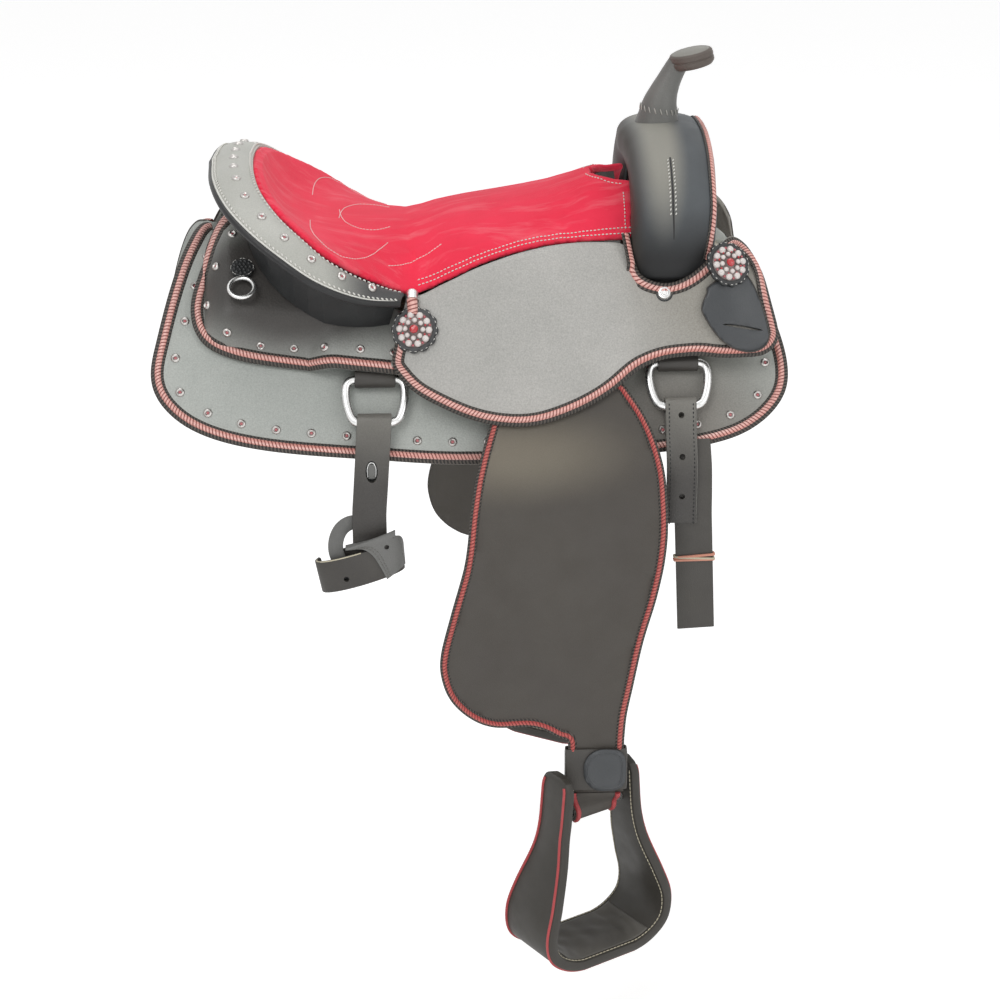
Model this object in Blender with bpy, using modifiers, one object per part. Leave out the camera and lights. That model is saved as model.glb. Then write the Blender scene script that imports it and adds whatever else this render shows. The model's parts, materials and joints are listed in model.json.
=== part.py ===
"""Western ranch saddle, in metres: +X to the horn, +Y to the near side, +Z up.

The origin lies on the horse's spine under the lowest point of the seat. Every leather panel is cut
as a flat pattern, x along the spine and s down the horse's side, and laid on the horse's back at
its own lift, so the layers stack as they do on the real saddle.
"""
import math

import bmesh
import bpy
from mathutils import Matrix, Vector

# Fits
FIT = 0.0003
LAYER = 0.0008
RUN = 0.0008

# Horse's back: a crown that turns into a flat side, rising at the withers and the loin
CROWN_SLOPE = math.radians(18)
SIDE_SLOPE = math.radians(58)
SIDE_START = 0.190
WITHER_X, WITHER_RISE = 0.380, 0.045
LOIN_X, LOIN_RISE = -0.240, 0.035
RISE_FADE = 0.180

# Leather thicknesses
FLEECE_T = 0.0115
SKIRT_T = 0.0047
JOCKEY_T = 0.0045
RIGGING_T = 0.0030
FENDER_T = 0.0050
STIRRUP_LEATHER_T = 0.0040
BILLET_T = 0.0040
SEAT_T = 0.0040
GROUND_SEAT_T = 0.0090
COVER_T = 0.0035
ROLL_T = 0.0090
ROLL_EDGE_T = 0.0045

# Tree
BAR_T = 0.0217
BAR_OUTLINE = [(-0.168, 0.050), (-0.160, 0.092), (-0.115, 0.106), (0.050, 0.104), (0.140, 0.106),
               (0.235, 0.112), (0.286, 0.106), (0.300, 0.080), (0.285, 0.048), (0.150, 0.042),
               (0.030, 0.040), (-0.115, 0.034), (-0.155, 0.036)]
CANTLE_BOARD_T = 0.0060

# Dee rings and rigging
DEE_WIRE = 0.0045
DEE_HALF = 0.0290
DEE_FLAT = 0.0185
DEE_DROP = 0.0445
FRONT_DEE_X, FRONT_DEE_S = 0.267, 0.165
REAR_DEE_X, REAR_DEE_S = -0.035, 0.176
RIGGING_WIDTH = 0.040
FRONT_RIGGING_TOP_S, REAR_RIGGING_TOP_S = 0.118, 0.112

# Billets
FRONT_BILLET_WIDTH, REAR_BILLET_WIDTH = 0.031, 0.034
FRONT_BILLET_X = FRONT_DEE_X + 0.0005
BILLET_TAIL = 0.028
SKIRT_EDGE_S = 0.262
OFF_BILLET_LENGTH = 0.053
OFF_STRAP_LENGTH = 0.167
REAR_BILLET_LENGTH = 0.073
LATIGO_LENGTH = 0.215

# Stirrup leather and the neck of the tree bar that it hangs on
PIVOT_X = 0.162
PIVOT_S = 0.098
NECK_T = 0.0090
NECK_LIFT = 0.0075
NECK_HUMP = 0.025
NECK_DROP = 0.020
NOTCH_HALF = 0.056
LEATHER_WIDTH = 0.076
LEATHER_TAIL_S = 0.250
LOOP_DROP = 0.046

# Fender and stirrup
FENDER_BEND_S = 0.285
FENDER_BEND_R = 0.150
FENDER_HANG = math.radians(86)
FENDER_END_S = 0.596
FENDER_NECK = (0.152, 0.208)
HOBBLE_S = FENDER_END_S - 0.026
HOBBLE_HEIGHT = 0.044
HOBBLE_T = 0.0028
LOOP_WIDTH = 0.052
LOOP_T = 0.0040
LOOP_LENGTH = 0.018
LOOP_TURN = math.radians(32)
STIRRUP_WALL = 0.011
STIRRUP_SHAPE = [(0.040, -0.046), (0.0425, -0.012), (0.045, 0.012), (0.051, 0.044), (0.064, 0.082),
                 (0.073, 0.112), (0.070, 0.136), (0.054, 0.151), (0.032, 0.158), (0.000, 0.158)]
STIRRUP_NECK_DEPTH = 0.044
STIRRUP_TREAD_DEPTH = 0.080
BOLT_R = 0.0055

# Horn
HORN_AXIS = [(0.2560, 0.112), (0.2583, 0.133), (0.2600, 0.146), (0.2635, 0.158), (0.2685, 0.170),
             (0.2740, 0.181), (0.2775, 0.187)]
HORN_RADII = [0.0215, 0.0205, 0.0180, 0.0148, 0.0124, 0.0112, 0.0108]
CAP_CENTRE = Vector((0.2915, 0.0, 0.1925))
CAP_R, CAP_T = 0.0225, 0.0155
CAP_TILT = math.radians(13)

# Conchos
ROSETTE_R, ROSETTE_T = 0.0235, 0.0030
CONCHO_R, CONCHO_RISE = 0.0185, 0.0060
FRONT_CONCHO = (0.824, 0.184, 0.0052)
REAR_CONCHO = (0.056, 0.427, 0.0012)

# Small rear dee
SMALL_RING_X, SMALL_RING_S = -0.165, 0.079
SMALL_RING_R, SMALL_RING_WIRE = 0.0125, 0.0022

# Lifts of the layers over the horse's back
SKIRT_LIFT = LAYER / 2
SKIRT_TOP = SKIRT_LIFT + SKIRT_T
BAR_LIFT = SKIRT_TOP + LAYER
BAR_TOP = BAR_LIFT + BAR_T
RIGGING_LIFT = SKIRT_TOP + LAYER
DEE_LIFT = RIGGING_LIFT + RIGGING_T + RUN + DEE_WIRE
RIGGING_TOP = DEE_LIFT + DEE_WIRE + RUN + RIGGING_T
FENDER_LIFT = DEE_LIFT + DEE_WIRE + RUN + BILLET_T + 0.0010
FENDER_TOP = FENDER_LIFT + FENDER_T
JOCKEY_LIFT = FENDER_TOP + LAYER
REAR_JOCKEY_LIFT = SKIRT_TOP + LAYER

# Flat patterns, (x, s)
SKIRT_OUTLINE = [(-0.204, 0.000), (-0.224, 0.042), (-0.248, 0.124), (-0.256, 0.169), (-0.240, 0.202),
                 (-0.203, 0.227), (-0.142, 0.243), (-0.046, 0.253), (0.064, 0.260), (0.225, 0.253),
                 (0.301, 0.243), (0.344, 0.226), (0.372, 0.197), (0.378, 0.163), (0.366, 0.121),
                 (0.344, 0.087), (0.318, 0.064), (0.280, 0.048), (0.178, 0.033), (-0.002, 0.024),
                 (-0.111, 0.016), (-0.165, 0.000)]
REAR_JOCKEY_OUTLINE = [(-0.177, 0.010), (-0.194, 0.033), (-0.209, 0.072), (-0.217, 0.109),
                       (-0.205, 0.137), (-0.170, 0.153), (-0.109, 0.163), (-0.060, 0.169),
                       (-0.010, 0.175), (0.013, 0.183), (0.040, 0.172), (0.035, 0.140),
                       (0.000, 0.116), (-0.052, 0.110), (-0.098, 0.099), (-0.130, 0.077),
                       (-0.150, 0.045), (-0.156, 0.014)]
FENDER_OUTLINE = [(0.090, 0.190), (0.082, 0.213), (0.068, 0.258), (0.057, 0.306), (0.050, 0.351),
                  (0.035, 0.406), (0.025, 0.447), (0.026, 0.471), (0.035, 0.494), (0.054, 0.513),
                  (0.078, 0.523), (0.114, 0.523), (0.134, 0.530), (0.147, 0.540), (0.1518, 0.552),
                  (0.152, 0.580), (0.152, FENDER_END_S), (0.208, FENDER_END_S), (0.208, 0.575),
                  (0.208, 0.545), (0.210, 0.515), (0.216, 0.484), (0.226, 0.435), (0.239, 0.388),
                  (0.248, 0.340), (0.249, 0.304),
                  (0.246, 0.269), (0.235, 0.231), (0.218, 0.200), (0.201, 0.183), (0.146, 0.175)]

# Seat: centre line (x, z) and the edge it meets (x, y, z), from the front to the cantle's peak
SEAT_RIBS = [((0.222, 0.087), (0.2210, 0.090, 0.029)), ((0.198, 0.079), (0.194, 0.094, 0.029)),
             ((0.148, 0.061), (0.151, 0.104, 0.030)), ((0.097, 0.050), (0.110, 0.112, 0.025)),
             ((0.062, 0.044), (0.070, 0.124, 0.014)), ((0.030, 0.038), (0.040, 0.132, 0.002)),
             ((0.000, 0.031), (0.004, 0.134, -0.010)), ((-0.040, 0.030), (-0.038, 0.154, 0.009)),
             ((-0.080, 0.033), (-0.074, 0.160, 0.031)), ((-0.108, 0.042), (-0.098, 0.151, 0.050)),
             ((-0.128, 0.056), (-0.121, 0.130, 0.067)), ((-0.140, 0.072), (-0.139, 0.100, 0.084)),
             ((-0.147, 0.086), (-0.147, 0.060, 0.094)), ((-0.150, 0.098), (-0.150, 0.000, 0.098))]
SEAT_CORNER = 6
HAND_HOLE_X, HAND_HOLE_R = 0.229, 0.038

# Cantle roll: outer edge (x, y, z) from the corner at the jockey to the peak
ROLL_OUTER = [(-0.001, 0.147, -0.018), (-0.047, 0.176, -0.005), (-0.089, 0.187, 0.015),
              (-0.125, 0.177, 0.038), (-0.155, 0.156, 0.058), (-0.178, 0.126, 0.076),
              (-0.192, 0.078, 0.090), (-0.197, 0.000, 0.094)]
ROLL_CROWN = 0.005

# Feet of the cantle's leather on the rear jockeys and of its board on the bars, (x, s)
CANTLE_FOOT = [(-0.010, 0.126), (-0.045, 0.130), (-0.082, 0.126), (-0.113, 0.112), (-0.140, 0.088),
               (-0.157, 0.058), (-0.164, 0.030), (-0.166, 0.000)]
BOARD_FOOT = [(-0.010, 0.098), (-0.045, 0.098), (-0.080, 0.092), (-0.105, 0.078), (-0.122, 0.058),
              (-0.132, 0.036), (-0.136, 0.018), (-0.137, 0.000)]

# Seat jockey: top edge (x, y, z) under the seat and round the fork, bottom edge (x, s)
JOCKEY_RIBS = [((-0.002, 0.135, -0.017), (-0.017, 0.167)), ((0.016, 0.135, -0.013), (-0.002, 0.186)),
               ((0.040, 0.134, -0.001), (0.018, 0.201)), ((0.070, 0.126, 0.011), (0.065, 0.223)),
               ((0.110, 0.114, 0.021), (0.115, 0.229)), ((0.151, 0.106, 0.027), (0.158, 0.217)),
               ((0.191, 0.097, 0.026), (0.193, 0.199)), ((0.217, 0.0985, 0.022), (0.220, 0.178)),
               ((0.226, 0.112, 0.000), (0.237, 0.170)), ((0.240, 0.1195, -0.008), (0.251, 0.166)),
               ((0.256, 0.1235, -0.0105), (0.266, 0.164)), ((0.272, 0.1240, -0.006), (0.288, 0.163)),
               ((0.288, 0.1225, 0.004), (0.308, 0.165)), ((0.305, 0.115, 0.020), (0.331, 0.165)),
               ((0.320, 0.097, 0.030), (0.349, 0.164)), ((0.337, 0.096, 0.020), (0.361, 0.157)),
               ((0.351, 0.110, -0.005), (0.365, 0.145))]

# Latigo keeper on the seat jockey's front lobe, (u, v)
KEEPER_OUTLINE = [(0.764, 0.250), (0.754, 0.300), (0.732, 0.400), (0.726, 0.503), (0.745, 0.721),
                  (0.776, 0.888), (0.820, 0.960), (0.873, 0.955), (0.907, 0.915), (0.918, 0.823),
                  (0.914, 0.645), (0.905, 0.491), (0.880, 0.360), (0.820, 0.270)]
KEEPER_SLOT = (0.826, 0.760)

# Fork: outer and inner profile (y, z) from the top to the foot, and the x of its rear and front
FORK_STATIONS = [((0.000, 0.1270), (0.000, 0.090), 0.2220, 0.3055),
                 ((0.040, 0.1250), (0.024, 0.087), 0.2240, 0.3050),
                 ((0.077, 0.1140), (0.046, 0.077), 0.2265, 0.3045),
                 ((0.106, 0.0950), (0.062, 0.060), 0.2270, 0.3035),
                 ((0.124, 0.0740), (0.070, 0.043), 0.2270, 0.3030),
                 ((0.1285, 0.053), (0.074, 0.026), 0.2270, 0.3025),
                 ((0.1260, 0.032), (0.076, 0.010), 0.2270, 0.3015),
                 ((0.1205, 0.012), (0.078, -0.004), 0.2285, 0.2990),
                 ((0.1165, -0.010), (0.080, -0.018), 0.2320, 0.2940),
                 ((0.1120, -0.034), (0.080, -0.034), 0.2360, 0.2900)]
COVER_GAP = 0.0009


def smoothstep(value):
    value = min(max(value, 0.0), 1.0)
    return value * value * (3 - 2 * value)


def spine_rise(x):
    if x < 0:
        return LOIN_RISE * (x / LOIN_X) ** 2
    return WITHER_RISE * smoothstep(x / WITHER_X)


def back_radius():
    return SIDE_START / (SIDE_SLOPE - CROWN_SLOPE)


def horseback(x, s, lift, side):
    """Point at x along the spine, s down the side and lift off the horse's back."""
    angle = CROWN_SLOPE + min(s, SIDE_START) / back_radius()
    flat = max(s - SIDE_START, 0.0)
    y = back_radius() * (math.sin(angle) - math.sin(CROWN_SLOPE)) + flat * math.cos(SIDE_SLOPE)
    z = -back_radius() * (math.cos(CROWN_SLOPE) - math.cos(angle)) - flat * math.sin(SIDE_SLOPE)
    z += spine_rise(x) * (1 - smoothstep(s / RISE_FADE))
    return Vector((x, side * (y + lift * math.sin(angle)), z + lift * math.cos(angle)))


def flat_side(x, s, lift, side):
    """Like horseback, on the plane of the flat side, which the stirrup leather swings in."""
    foot = horseback(x, SIDE_START, lift, side)
    down = s - SIDE_START
    return foot + Vector((0, side * down * math.cos(SIDE_SLOPE), -down * math.sin(SIDE_SLOPE)))


def hanging(x, s, lift, side):
    """The fender's shape: flat along the side, then bending down to hang nearly upright."""
    if s <= FENDER_BEND_S:
        return flat_side(x, s, lift, side)
    start = flat_side(x, FENDER_BEND_S, 0.0, side)
    turn = min((s - FENDER_BEND_S) / FENDER_BEND_R, FENDER_HANG - SIDE_SLOPE)
    angle = SIDE_SLOPE + turn
    y = FENDER_BEND_R * (math.sin(angle) - math.sin(SIDE_SLOPE))
    z = -FENDER_BEND_R * (math.cos(SIDE_SLOPE) - math.cos(angle))
    rest = s - FENDER_BEND_S - FENDER_BEND_R * turn
    y += rest * math.cos(angle) + lift * math.sin(angle)
    z += -rest * math.sin(angle) + lift * math.cos(angle)
    return start + Vector((0, side * y, z))


def side_normal(side):
    return Vector((0, side * math.sin(SIDE_SLOPE), math.cos(SIDE_SLOPE)))


def spline(points, t):
    """Point at t from 0 to 1 on the smooth curve through the given points."""
    count = len(points) - 1
    place = min(max(t, 0.0), 1.0) * count
    index = min(int(place), count - 1)
    local = place - index
    b, c = Vector(points[index]), Vector(points[index + 1])
    a = Vector(points[index - 1]) if index > 0 else 2 * b - c
    d = Vector(points[index + 2]) if index + 2 <= count else 2 * c - b
    return 0.5 * (2 * b + (c - a) * local + (2 * a - 5 * b + 4 * c - d) * local ** 2
                  + (3 * b - a - 3 * c + d) * local ** 3)


def closed_curve(points, per_span):
    """The smooth closed outline through the points, with per_span points to each stretch."""
    loop = [points[-1]] + list(points) + [points[0], points[1]]
    result = []
    for index in range(1, len(points) + 1):
        for step in range(per_span):
            t = (index + step / per_span) / (len(loop) - 1)
            result.append(spline(loop, t))
    return result


def material(name, colour, roughness, metallic=0.0):
    made = bpy.data.materials.new(name)
    made.use_nodes = True
    shader = made.node_tree.nodes["Principled BSDF"]
    shader.inputs["Base Color"].default_value = (*colour, 1.0)
    shader.inputs["Roughness"].default_value = roughness
    shader.inputs["Metallic"].default_value = metallic
    made.diffuse_color = (*colour, 1.0)
    return made


def clear_scene():
    for old in list(bpy.data.objects):
        bpy.data.objects.remove(old, do_unlink=True)


def collection(name):
    made = bpy.data.collections.new(name)
    bpy.context.scene.collection.children.link(made)
    return made


clear_scene()
SADDLE = collection("ranch_saddle")
CUTTERS = collection("cutters")
BLACK_LEATHER = material("black_leather", (0.035, 0.034, 0.033), 0.45)
GREY_LEATHER = material("grey_leather", (0.180, 0.185, 0.180), 0.55)
BROWN_LEATHER = material("brown_leather", (0.060, 0.050, 0.042), 0.50)
RED_SUEDE = material("red_suede", (0.830, 0.035, 0.070), 0.90)
WOOL = material("wool", (0.620, 0.570, 0.470), 0.95)
WOOD = material("tree_rawhide", (0.560, 0.430, 0.270), 0.60)
STEEL = material("bright_steel", (0.720, 0.720, 0.740), 0.22, 1.0)


def add_object(name, data, finish, cutter=False):
    made = bpy.data.objects.new(name, data)
    (CUTTERS if cutter else SADDLE).objects.link(made)
    if cutter:
        made.hide_render = True
        made.display_type = "WIRE"
    else:
        data.materials.append(finish)
    return made


def mesh_from(name, bm, facing=None):
    """Store a bmesh, turned so that an open sheet faces the given way."""
    bmesh.ops.remove_doubles(bm, verts=bm.verts, dist=1e-6)
    if facing is None:
        bmesh.ops.recalc_face_normals(bm, faces=bm.faces)
    else:
        bm.normal_update()
        total = sum((face.normal * face.calc_area() for face in bm.faces), Vector())
        if total.dot(facing) < 0:
            bmesh.ops.reverse_faces(bm, faces=bm.faces)
    mesh = bpy.data.meshes.new(name)
    bm.to_mesh(mesh)
    bm.free()
    mesh.shade_smooth()
    mesh.set_sharp_from_angle(angle=math.radians(40))
    return mesh


def thicken(made, thickness, offset=1.0):
    solid = made.modifiers.new("thickness", "SOLIDIFY")
    solid.thickness = thickness
    solid.offset = offset
    solid.use_even_offset = True
    return solid


def boolean(made, cutter, operation="DIFFERENCE"):
    cut = made.modifiers.new(cutter.name, "BOOLEAN")
    cut.object = cutter
    cut.operation = operation
    cut.solver = "EXACT"
    return cut


def sheet(name, finish, surface, along, across, facing, thickness, near=0.0, offset=1.0):
    """A sheet bent to surface(u, v), moved along its normals by near, then thickened."""
    bm = bmesh.new()
    bmesh.ops.create_grid(bm, x_segments=along, y_segments=across, size=0.5)
    for vert in bm.verts:
        vert.co = surface(vert.co.x + 0.5, vert.co.y + 0.5)
    mesh = mesh_from(name, bm, facing)
    if near:
        normals = [vert.normal.copy() for vert in mesh.vertices]
        for vert, normal in zip(mesh.vertices, normals):
            vert.co += normal * near
    made = add_object(name, mesh, finish)
    thicken(made, thickness, offset)
    return made


def grid_lines(low, high, step):
    first = math.ceil((low + step * 0.2) / step)
    last = math.floor((high - step * 0.2) / step)
    return [index * step for index in range(first, last + 1)]


def panel(name, finish, outline, surface, facing, thickness, step_x, step_s, cutter=False):
    """A flat pattern (x, s) laid on surface(x, s) and thickened outward."""
    bm = bmesh.new()
    bm.faces.new([bm.verts.new((point[0], point[1], 0)) for point in outline])
    for axis, step in ((0, step_x), (1, step_s)):
        values = [point[axis] for point in outline]
        normal = Vector((1 - axis, axis, 0))
        for line in grid_lines(min(values), max(values), step):
            bmesh.ops.bisect_plane(bm, geom=bm.verts[:] + bm.edges[:] + bm.faces[:],
                                   plane_co=normal * line, plane_no=normal, dist=1e-5)
    for vert in bm.verts:
        vert.co = surface(vert.co.x, vert.co.y)
    bmesh.ops.triangulate(bm, faces=[face for face in bm.faces if len(face.verts) > 4])
    made = add_object(name, mesh_from(name, bm, facing), finish, cutter)
    thicken(made, thickness)
    return made


def strap(name, finish, path, widths, thickness, across=None):
    """A strap along the path, its width along the across direction, or one for each point."""
    bm = bmesh.new()
    rows = []
    for index, point in enumerate(path):
        direction = across[index] if isinstance(across, list) else across
        reach = direction * (widths[index] if isinstance(widths, list) else widths) / 2
        rows.append((bm.verts.new(point - reach), bm.verts.new(point + reach)))
    for first, second in zip(rows, rows[1:]):
        bm.faces.new((first[0], first[1], second[1], second[0]))
    mesh = bpy.data.meshes.new(name)
    bm.to_mesh(mesh)
    bm.free()
    mesh.shade_smooth()
    mesh.set_sharp_from_angle(angle=math.radians(40))
    made = add_object(name, mesh, finish)
    thicken(made, thickness, 0.0)
    return made


def ring_solid(name, finish, rings, cutter=False):
    """A closed solid lofted through rings of points, with its two ends capped."""
    bm = bmesh.new()
    loops = [[bm.verts.new(point) for point in ring] for ring in rings]
    count = len(rings[0])
    for first, second in zip(loops, loops[1:]):
        for index in range(count):
            following = (index + 1) % count
            bm.faces.new((first[index], first[following], second[following], second[index]))
    bm.faces.new(loops[0])
    bm.faces.new(loops[-1])
    return add_object(name, mesh_from(name, bm), finish, cutter)


def wire(name, finish, points, radius, cyclic=False, resolution=2, radii=None):
    curve = bpy.data.curves.new(name, "CURVE")
    curve.dimensions = "3D"
    line = curve.splines.new("POLY")
    line.points.add(len(points) - 1)
    for index, point in enumerate(points):
        line.points[index].co = (*point, 1.0)
        line.points[index].radius = radii[index] if radii else 1.0
    line.use_cyclic_u = cyclic
    curve.bevel_depth = radius
    curve.bevel_resolution = resolution
    curve.use_fill_caps = True
    return add_object(name, curve, finish)


def turned(name, finish, profile, steps, place, cutter=False):
    """A turned piece: its profile (radius, height) runs down the outer side."""
    mesh = bpy.data.meshes.new(name)
    points = [(radius, 0.0, height) for radius, height in profile]
    mesh.from_pydata(points, [(i, i + 1) for i in range(len(points) - 1)], [])
    made = add_object(name, mesh, finish, cutter)
    screw = made.modifiers.new("turn", "SCREW")
    screw.axis = "Z"
    screw.steps = steps
    screw.render_steps = steps
    screw.use_merge_vertices = True
    screw.merge_threshold = 0.00001
    made.matrix_world = place
    return made


def place_on(point, normal, up=Vector((0, 0, 1))):
    """Matrix that stands a piece on the point, its own Z along the normal."""
    z_axis = normal.normalized()
    x_axis = up.cross(z_axis).normalized()
    y_axis = z_axis.cross(x_axis)
    matrix = Matrix((x_axis, y_axis, z_axis)).transposed().to_4x4()
    matrix.translation = point
    return matrix


def hinge(name, point, axis):
    """An empty on a joint's axis, which carries the pieces that turn on it."""
    made = bpy.data.objects.new(name, None)
    SADDLE.objects.link(made)
    made.matrix_world = place_on(point, axis, Vector((0.13, 0.37, 0.92)))
    return made


def carry(parent, pieces):
    bpy.context.view_layer.update()
    for piece in pieces:
        piece.parent = parent
        piece.matrix_parent_inverse = parent.matrix_world.inverted()


def side_name(side):
    return "R" if side < 0 else "L"


def seat_point(u, w, side=1):
    """Seat surface: u from the front to the cantle's peak, w from -1 to 1 across."""
    centre = spline([(rib[0][0], 0.0, rib[0][1]) for rib in SEAT_RIBS], u)
    edge = spline([rib[1] for rib in SEAT_RIBS], u)
    reach = abs(w)
    return Vector((centre.x + (edge.x - centre.x) * reach ** 2, side * edge.y * w,
                   centre.z + (edge.z - centre.z) * reach ** 2.2))


def roll_edges(t):
    """Inner and outer edge of the cantle roll, t from 0 at the corner to 1 at the peak."""
    first = SEAT_CORNER / (len(SEAT_RIBS) - 1)
    rim = spline([rib[1] for rib in SEAT_RIBS], first + (1 - first) * t)
    outer = spline(ROLL_OUTER, t)
    inner = rim + (outer - rim).normalized() * (SEAT_T + LAYER)
    return inner, outer


def roll_thickness(t, v):
    inner, outer = roll_edges(t)
    fullness = min(1.0, (outer - inner).length / 0.030)
    return (ROLL_EDGE_T + (ROLL_T - ROLL_EDGE_T) * 4 * v * (1 - v)) * fullness


def roll_point(t, v, depth=0.0):
    """Point across the roll, v from its inner edge to its outer edge, depth 1 underneath."""
    inner, outer = roll_edges(t)
    point = inner.lerp(outer, v)
    point.z += ROLL_CROWN * 4 * v * (1 - v) - roll_thickness(t, v) * depth
    return point


def mirrored(surface, u):
    """Evaluate a right-hand curve of 0 to 1 over both sides: u runs right foot to left foot."""
    side = -1 if u < 0.5 else 1
    point = surface(1 - abs(2 * u - 1))
    return Vector((point.x, side * point.y, point.z))


def rear_jockey_lift(x, s):
    """Lift of the rear jockey: flat on the skirt, raised over the bar ends and the rigging."""
    over_bar = smoothstep((0.150 - s) / 0.036) * smoothstep((x + 0.212) / 0.034)
    over_bar *= smoothstep((s + 0.010) / 0.030)
    over_rigging = smoothstep((x + 0.112) / 0.040)
    rise = max(over_bar * (BAR_TOP + 0.0012), over_rigging * (RIGGING_TOP + LAYER))
    return max(REAR_JOCKEY_LIFT, rise)


def jockey_point(u, v, side):
    """Seat jockey: u from the rear corner to the front, v from the top edge to the bottom."""
    top = spline([rib[0] for rib in JOCKEY_RIBS], u)
    x, s = spline([rib[1] for rib in JOCKEY_RIBS], u)
    bottom = horseback(x, s, JOCKEY_LIFT, 1)
    bulge = 0.16 * (bottom - top).length * v * (1 - v)
    point = top.lerp(bottom, v) + Vector((0, 0.62, 0.78)) * bulge
    return Vector((point.x, side * point.y, point.z))


def jockey_place(u, v, side, rise):
    """Place on the outer face of the seat jockey."""
    step = 0.01
    point = jockey_point(u, v, side)
    along = jockey_point(u + step, v, side) - jockey_point(u - step, v, side)
    down = jockey_point(u, v + step, side) - jockey_point(u, v - step, side)
    normal = along.cross(down).normalized()
    if normal.y * side < 0:
        normal = -normal
    return place_on(point + normal * (JOCKEY_T + rise), normal)


def build_fleece_and_skirt(side):
    tag = side_name(side)
    facing = side_normal(side)
    outline = [Vector((x, max(s, 0.0006))) for x, s in closed_curve(SKIRT_OUTLINE, 3)]
    panel("skirt_" + tag, GREY_LEATHER, outline,
          lambda x, s: horseback(x, s, SKIRT_LIFT, side), facing, SKIRT_T, 0.045, 0.0317)
    lining = [Vector((x * 0.975 + 0.002, s * 0.965 + 0.0065)) for x, s in outline]
    panel("fleece_" + tag, WOOL, lining,
          lambda x, s: horseback(x, s, -SKIRT_LIFT - 0.0006 - FLEECE_T, side), facing, FLEECE_T,
          0.045, 0.0317)


def build_rear_jockey(side):
    panel("rear_jockey_" + side_name(side), GREY_LEATHER, closed_curve(REAR_JOCKEY_OUTLINE, 3),
          lambda x, s: horseback(x, s, rear_jockey_lift(x, s), side), side_normal(side),
          JOCKEY_T, 0.020, 0.018)


def build_seat_jockey(side):
    """Its forward lobe carries the front concho and wraps the foot of the fork."""
    sheet("seat_jockey_" + side_name(side), GREY_LEATHER,
          lambda u, v: jockey_point(u, v, side), 36, 5, side_normal(side), JOCKEY_T)


def build_tree_bar(side):
    """A bar in two halves, joined by the neck that the stirrup leather hangs on."""
    tag = side_name(side)
    halves = []
    for name, low, high in (("tree_bar_", -1.0, PIVOT_X - NOTCH_HALF),
                            ("bar_front_", PIVOT_X + NOTCH_HALF, 1.0)):
        outline = [(min(max(x, low), high), s) for x, s in closed_curve(BAR_OUTLINE, 3)]
        kept = [point for index, point in enumerate(outline)
                if low < point[0] < high or low < outline[index - 1][0] < high
                or low < outline[(index + 1) % len(outline)][0] < high]
        halves.append(panel(name + tag, WOOD, kept,
                            lambda x, s: horseback(x, s, BAR_LIFT, side), side_normal(side),
                            BAR_T, 0.045, 0.0317, cutter=name == "bar_front_"))
    neck = [Vector((PIVOT_X + x, PIVOT_S - rise)) for x, rise in neck_outline()]
    web = panel("neck_" + tag, WOOD, neck,
                lambda x, s: flat_side(x, s, NECK_LIFT, side), side_normal(side), NECK_T,
                0.5, 0.5, cutter=True)
    boolean(halves[0], web, "UNION")
    boolean(halves[0], halves[1], "UNION")


def neck_outline():
    """Neck of the bar: a round hump that the leather's fold rolls on, and a flat underside."""
    reach = NOTCH_HALF + 0.008
    swing = math.radians(21)
    points = [(-reach, -NECK_DROP), (reach, -NECK_DROP)]
    foot = NECK_HUMP * math.cos(swing) - (reach - NECK_HUMP * math.sin(swing)) * math.tan(swing)
    points.append((reach, foot))
    for step in range(5):
        angle = swing * (1 - step / 2)
        points.append((NECK_HUMP * math.sin(angle), NECK_HUMP * math.cos(angle)))
    points.append((-reach, foot))
    return points


def fork_surface(t, angle, grow, side=1):
    """Point on the fork, t from 0 at its top to 1 at its foot, angle 0 in front, 90 outside."""
    outer = spline([row[0] for row in FORK_STATIONS], t)
    inner = spline([row[1] for row in FORK_STATIONS], t)
    rear, front = spline([(row[2], row[3]) for row in FORK_STATIONS], t)
    plump = 0.75 + 0.25 * smoothstep((t - 0.45) / 0.30)
    middle = (outer + inner) / 2
    radial = (outer - inner) / 2
    radial *= 1 + grow / radial.length
    half = (front - rear) / 2 + grow
    cosine, sine = math.cos(math.radians(angle)), math.sin(math.radians(angle))
    across = math.copysign(abs(cosine) ** plump, cosine)
    height = math.copysign(abs(sine) ** plump, sine)
    y, z = middle + radial * height
    return Vector(((front + rear) / 2 + half * across, side * y, z))


def fork_solid(name, grow, cutter=False):
    rings = []
    for step in range(-10, 11):
        side = -1 if step < 0 else 1
        rings.append([fork_surface(abs(step) / 10, 22.5 * index, grow, side) for index in range(16)])
    return ring_solid(name, WOOD, rings, cutter)


def bed_cutter(side):
    """The space of the bars and what lies under them, which the tree's arches stand on."""
    return panel("bed_" + side_name(side), WOOD,
                 [(-0.26, 0.000), (0.40, 0.000), (0.40, 0.185), (-0.26, 0.185)],
                 lambda x, s: horseback(x, s, -0.030, side), side_normal(side),
                 0.030 + BAR_TOP + LAYER, 0.045, 0.0317, cutter=True)


def build_fork():
    fork = fork_solid("tree_fork", 0.0)
    cover = build_swell_cover()
    for side in (-1, 1):
        bed = bed_cutter(side)
        boolean(fork, bed)
        boolean(cover, bed)


def build_swell_cover():
    """Leather over the fork, open underneath, in one piece from foot to foot."""
    def surface(u, v):
        t = 0.9 * (2 * u - 1)
        return fork_surface(abs(t), 225 - 270 * v, COVER_GAP, -1 if t < 0 else 1)

    return sheet("swell_cover", BLACK_LEATHER, surface, 18, 12, Vector((0, 0, 1)), COVER_T)


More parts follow.
